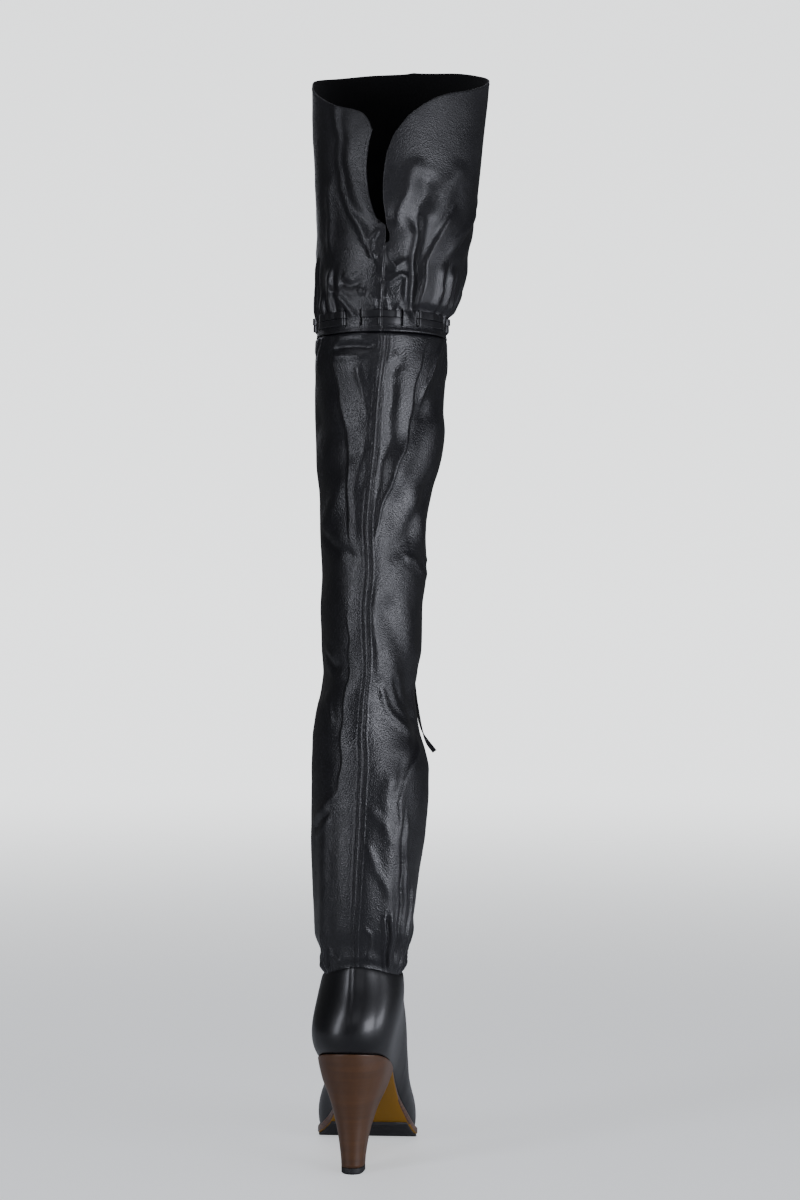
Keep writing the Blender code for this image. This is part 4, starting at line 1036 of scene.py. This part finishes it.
SOLE_TUCK = 0.0024
SEAT_SLOPE = 0.58
DOWNWARD = -0.55
outsole = refined("outsole", "outsole_leather", 2, sharp=30)
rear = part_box("outsole")[0][1]
for vertex in outsole.data.vertices:
    if vertex.co.y < rear + SOLE_TUCK / 2:
        vertex.co.y -= SOLE_TUCK
        vertex.co.z += SEAT_SLOPE * SOLE_TUCK
finish_piece(outsole, "waist_leather", "outsole", material=sole_edge)
outsole.data.materials.append(gold_waist)
for face in outsole.data.polygons:
    if face.normal.z < DOWNWARD:
        face.material_index = 1
for node, name, levels, slot, material in (
        ("half_sole", "forefoot_tread", 2, "tread_rubber", black_rubber),
        ("heel_top_piece", "heel_tip", 2, "tread_rubber", black_rubber),
        ("insole", "insole_sock", 1, "insole_suede", suede_lining)):
    finish_piece(refined(node, name, levels, sharp=30), slot, node, material=material)

# %% [markdown]
# ## Stitches
# The back seam is opened flat and sewn down by a row of stitches on each side. A stitch is a tiny
# sunk capsule of thread, modelled once and repeated along the rows on the leather's own surface.

# %% Stitches
STITCH_PITCH = 0.0031
STITCH_LENGTH = 0.0022
STITCH_WIDTH = 0.0005
STITCH_LIFT = 0.0001
EDGE_ROW = 2.2
RIM_ROW = 0.0020
RIM_SHARE = 0.9985


def sew(name, path, outward):
    """Stitches along a path on the leather, each a small capsule half sunk in it."""
    run = np.concatenate([[0.0], np.cumsum(np.linalg.norm(np.diff(path, axis=0), axis=1))])
    at = np.arange(STITCH_PITCH / 2, run[-1] - STITCH_PITCH / 2, STITCH_PITCH)
    middle, ahead, out = (np.stack([np.interp(u, run, column) for column in rows.T], axis=1)
                          for u, rows in ((at, path), (at + 0.0005, path), (at, outward)))
    out = unit(out)
    along = unit(ahead - middle)
    across = unit(np.cross(along, out))
    deselect()
    bpy.ops.mesh.primitive_uv_sphere_add(segments=6, ring_count=4, radius=0.5)
    capsule = bpy.context.object
    shape = points_of(capsule)
    faces = [tuple(f.vertices) for f in capsule.data.polygons]
    bpy.ops.object.delete()
    count = len(shape)
    points = (middle[:, None, :] + along[:, None, :] * shape[None, :, 2, None] * STITCH_LENGTH
              + across[:, None, :] * shape[None, :, 0, None] * STITCH_WIDTH
              + out[:, None, :] * shape[None, :, 1, None] * STITCH_WIDTH)
    mesh = bpy.data.meshes.new(name)
    every = [tuple(i + k * count for i in face) for k in range(len(at)) for face in faces]
    mesh.from_pydata(points.reshape(-1, 3).tolist(), [], every)
    mesh.shade_smooth()
    piece = bpy.data.objects.new(name, mesh)
    bpy.context.collection.objects.link(piece)
    bpy.context.view_layer.objects.active = piece
    piece.select_set(True)
    edit_all()
    bpy.ops.mesh.normals_make_consistent(inside=False)
    bpy.ops.object.mode_set(mode="OBJECT")
    finish_piece(piece, "lace_leather", material=thread)


levels = np.linspace(0.02, 0.968, 400)
for side, label in ((1, "outer"), (-1, "inner")):
    line, out = leg_point(np.full(levels.shape, side * SEAM_ROW / MM_ROUND), levels, STITCH_LIFT)
    sew(f"back_seam_stitches_{label}", line, out)
for side, label in ((1, "outer"), (-1, "inner")):
    share = np.concatenate([np.linspace(NOTCH_SHARE + 0.004, RIM_SHARE, 150), np.full(400, RIM_SHARE)])
    turn = np.concatenate([np.full(150, 0.0), np.linspace(0.0, 180.0, 400)])
    edge_angle, edge_z = cuff_place(turn if side > 0 else 360.0 - turn, share)
    inset_angle = side * EDGE_ROW / MM_ROUND * (1 - ease(0.0, 12.0, turn))
    edge_z = edge_z - RIM_ROW * ease(NOTCH_SHARE, NOTCH_SHARE + 0.02, share) * ease(0, 10, turn)
    line, out = cuff_point(edge_angle + inset_angle, edge_z, STITCH_LIFT)
    sew(f"cuff_edge_stitches_{label}", line, out)

# %% [markdown]
# ## Floor and light
# A pale studio: a wide floor that fades into the background, two soft boxes low on the outer side,
# a narrow one on the inner side, and weak ones behind, above and in front. The floor and the sky
# are bright for the camera alone, so that they don't fill the leather's reflections.

# %% Floor
FLOOR_RADIUS = 9.0
FLOOR_GLOW = 0.75
deselect()
bpy.ops.mesh.primitive_circle_add(vertices=96, radius=FLOOR_RADIUS, fill_type="NGON")
floor = bpy.context.object
floor.name = "studio_floor"
floor_paint, tree, shader, place = new_finish("pale_studio_floor", "#d0d2d4", 0.55)
shader.inputs["Emission Color"].default_value = rgb("#e6e8ea")
shown = add(tree, "LightPath").outputs["Is Camera Ray"]
glow = feed(tree, add(tree, "Math", {"operation": "MULTIPLY"}), shown, FLOOR_GLOW)
tree.links.new(glow, shader.inputs["Emission Strength"])
reach = add(tree, "VectorMath", {"operation": "LENGTH"})
tree.links.new(place, reach.inputs[0])
fade = add(tree, "MapRange", {"interpolation_type": "SMOOTHSTEP", "From Min": 0.5, "From Max": 4.0},
           Value=reach.outputs["Value"])
clear = add(tree, "BsdfTransparent").outputs["BSDF"]
blend = feed(tree, add(tree, "MixShader"), fade.outputs["Result"], shader.outputs["BSDF"], clear)
tree.links.new(blend, tree.nodes["Material Output"].inputs["Surface"])
floor.data.materials.append(floor_paint)

# %% World and lights
SKY_SHOWN = 3.1
SKY_LIGHT = 0.10
LIGHT_AIM = Vector((0.02, 0.04, 0.45))
world = bpy.data.worlds.new("studio")
bpy.context.scene.world = world
world.use_nodes = True
tree = world.node_tree
back = tree.nodes["Background"]
ray = add(tree, "TexCoord").outputs["Generated"]
upward = add(tree, "SeparateXYZ", Vector=ray)
rise = span(tree, upward.outputs["Z"], -0.25, 0.25, 0.0, 1.0)
sky = ramp(tree, rise, (0.0, "#d6d8da"), (0.5, "#dddfe0"), (1.0, "#d0d2d3"))
tree.links.new(sky, back.inputs["Color"])
back.inputs["Strength"].default_value = SKY_SHOWN
dim = add(tree, "Background", {"Strength": SKY_LIGHT}, Color=sky).outputs["Background"]
shown = add(tree, "LightPath").outputs["Is Camera Ray"]
both = feed(tree, add(tree, "MixShader"), shown, dim, back.outputs["Background"])
tree.links.new(both, tree.nodes["World Output"].inputs["Surface"])


def soft_light(name, place, power, width, height):
    """Rectangular soft box that faces the leg."""
    deselect()
    bpy.ops.object.light_add(type="AREA", location=place)
    light = bpy.context.object
    light.name = name
    light.rotation_euler = (LIGHT_AIM - Vector(place)).to_track_quat("-Z", "Y").to_euler()
    light.data.shape = "RECTANGLE"
    light.data.size = width
    light.data.size_y = height
    light.data.energy = power
    light.data.color = rgb("#f2f4ff")[:3]


soft_light("key_light", (1.75, -1.35, 0.45), 36.0, 1.1, 0.9)
soft_light("side_light", (2.2, -0.1, 0.25), 14.0, 0.9, 0.6)
soft_light("inner_light", (-1.6, -1.5, 0.9), 26.0, 0.5, 1.9)
soft_light("fill_light", (0.3, -2.9, 1.9), 6.5, 1.8, 1.0)
soft_light("top_light", (0.1, 0.0, 2.3), 12.0, 1.4, 1.4)
soft_light("front_light", (-0.6, 2.4, 1.5), 7.0, 1.6, 1.2)
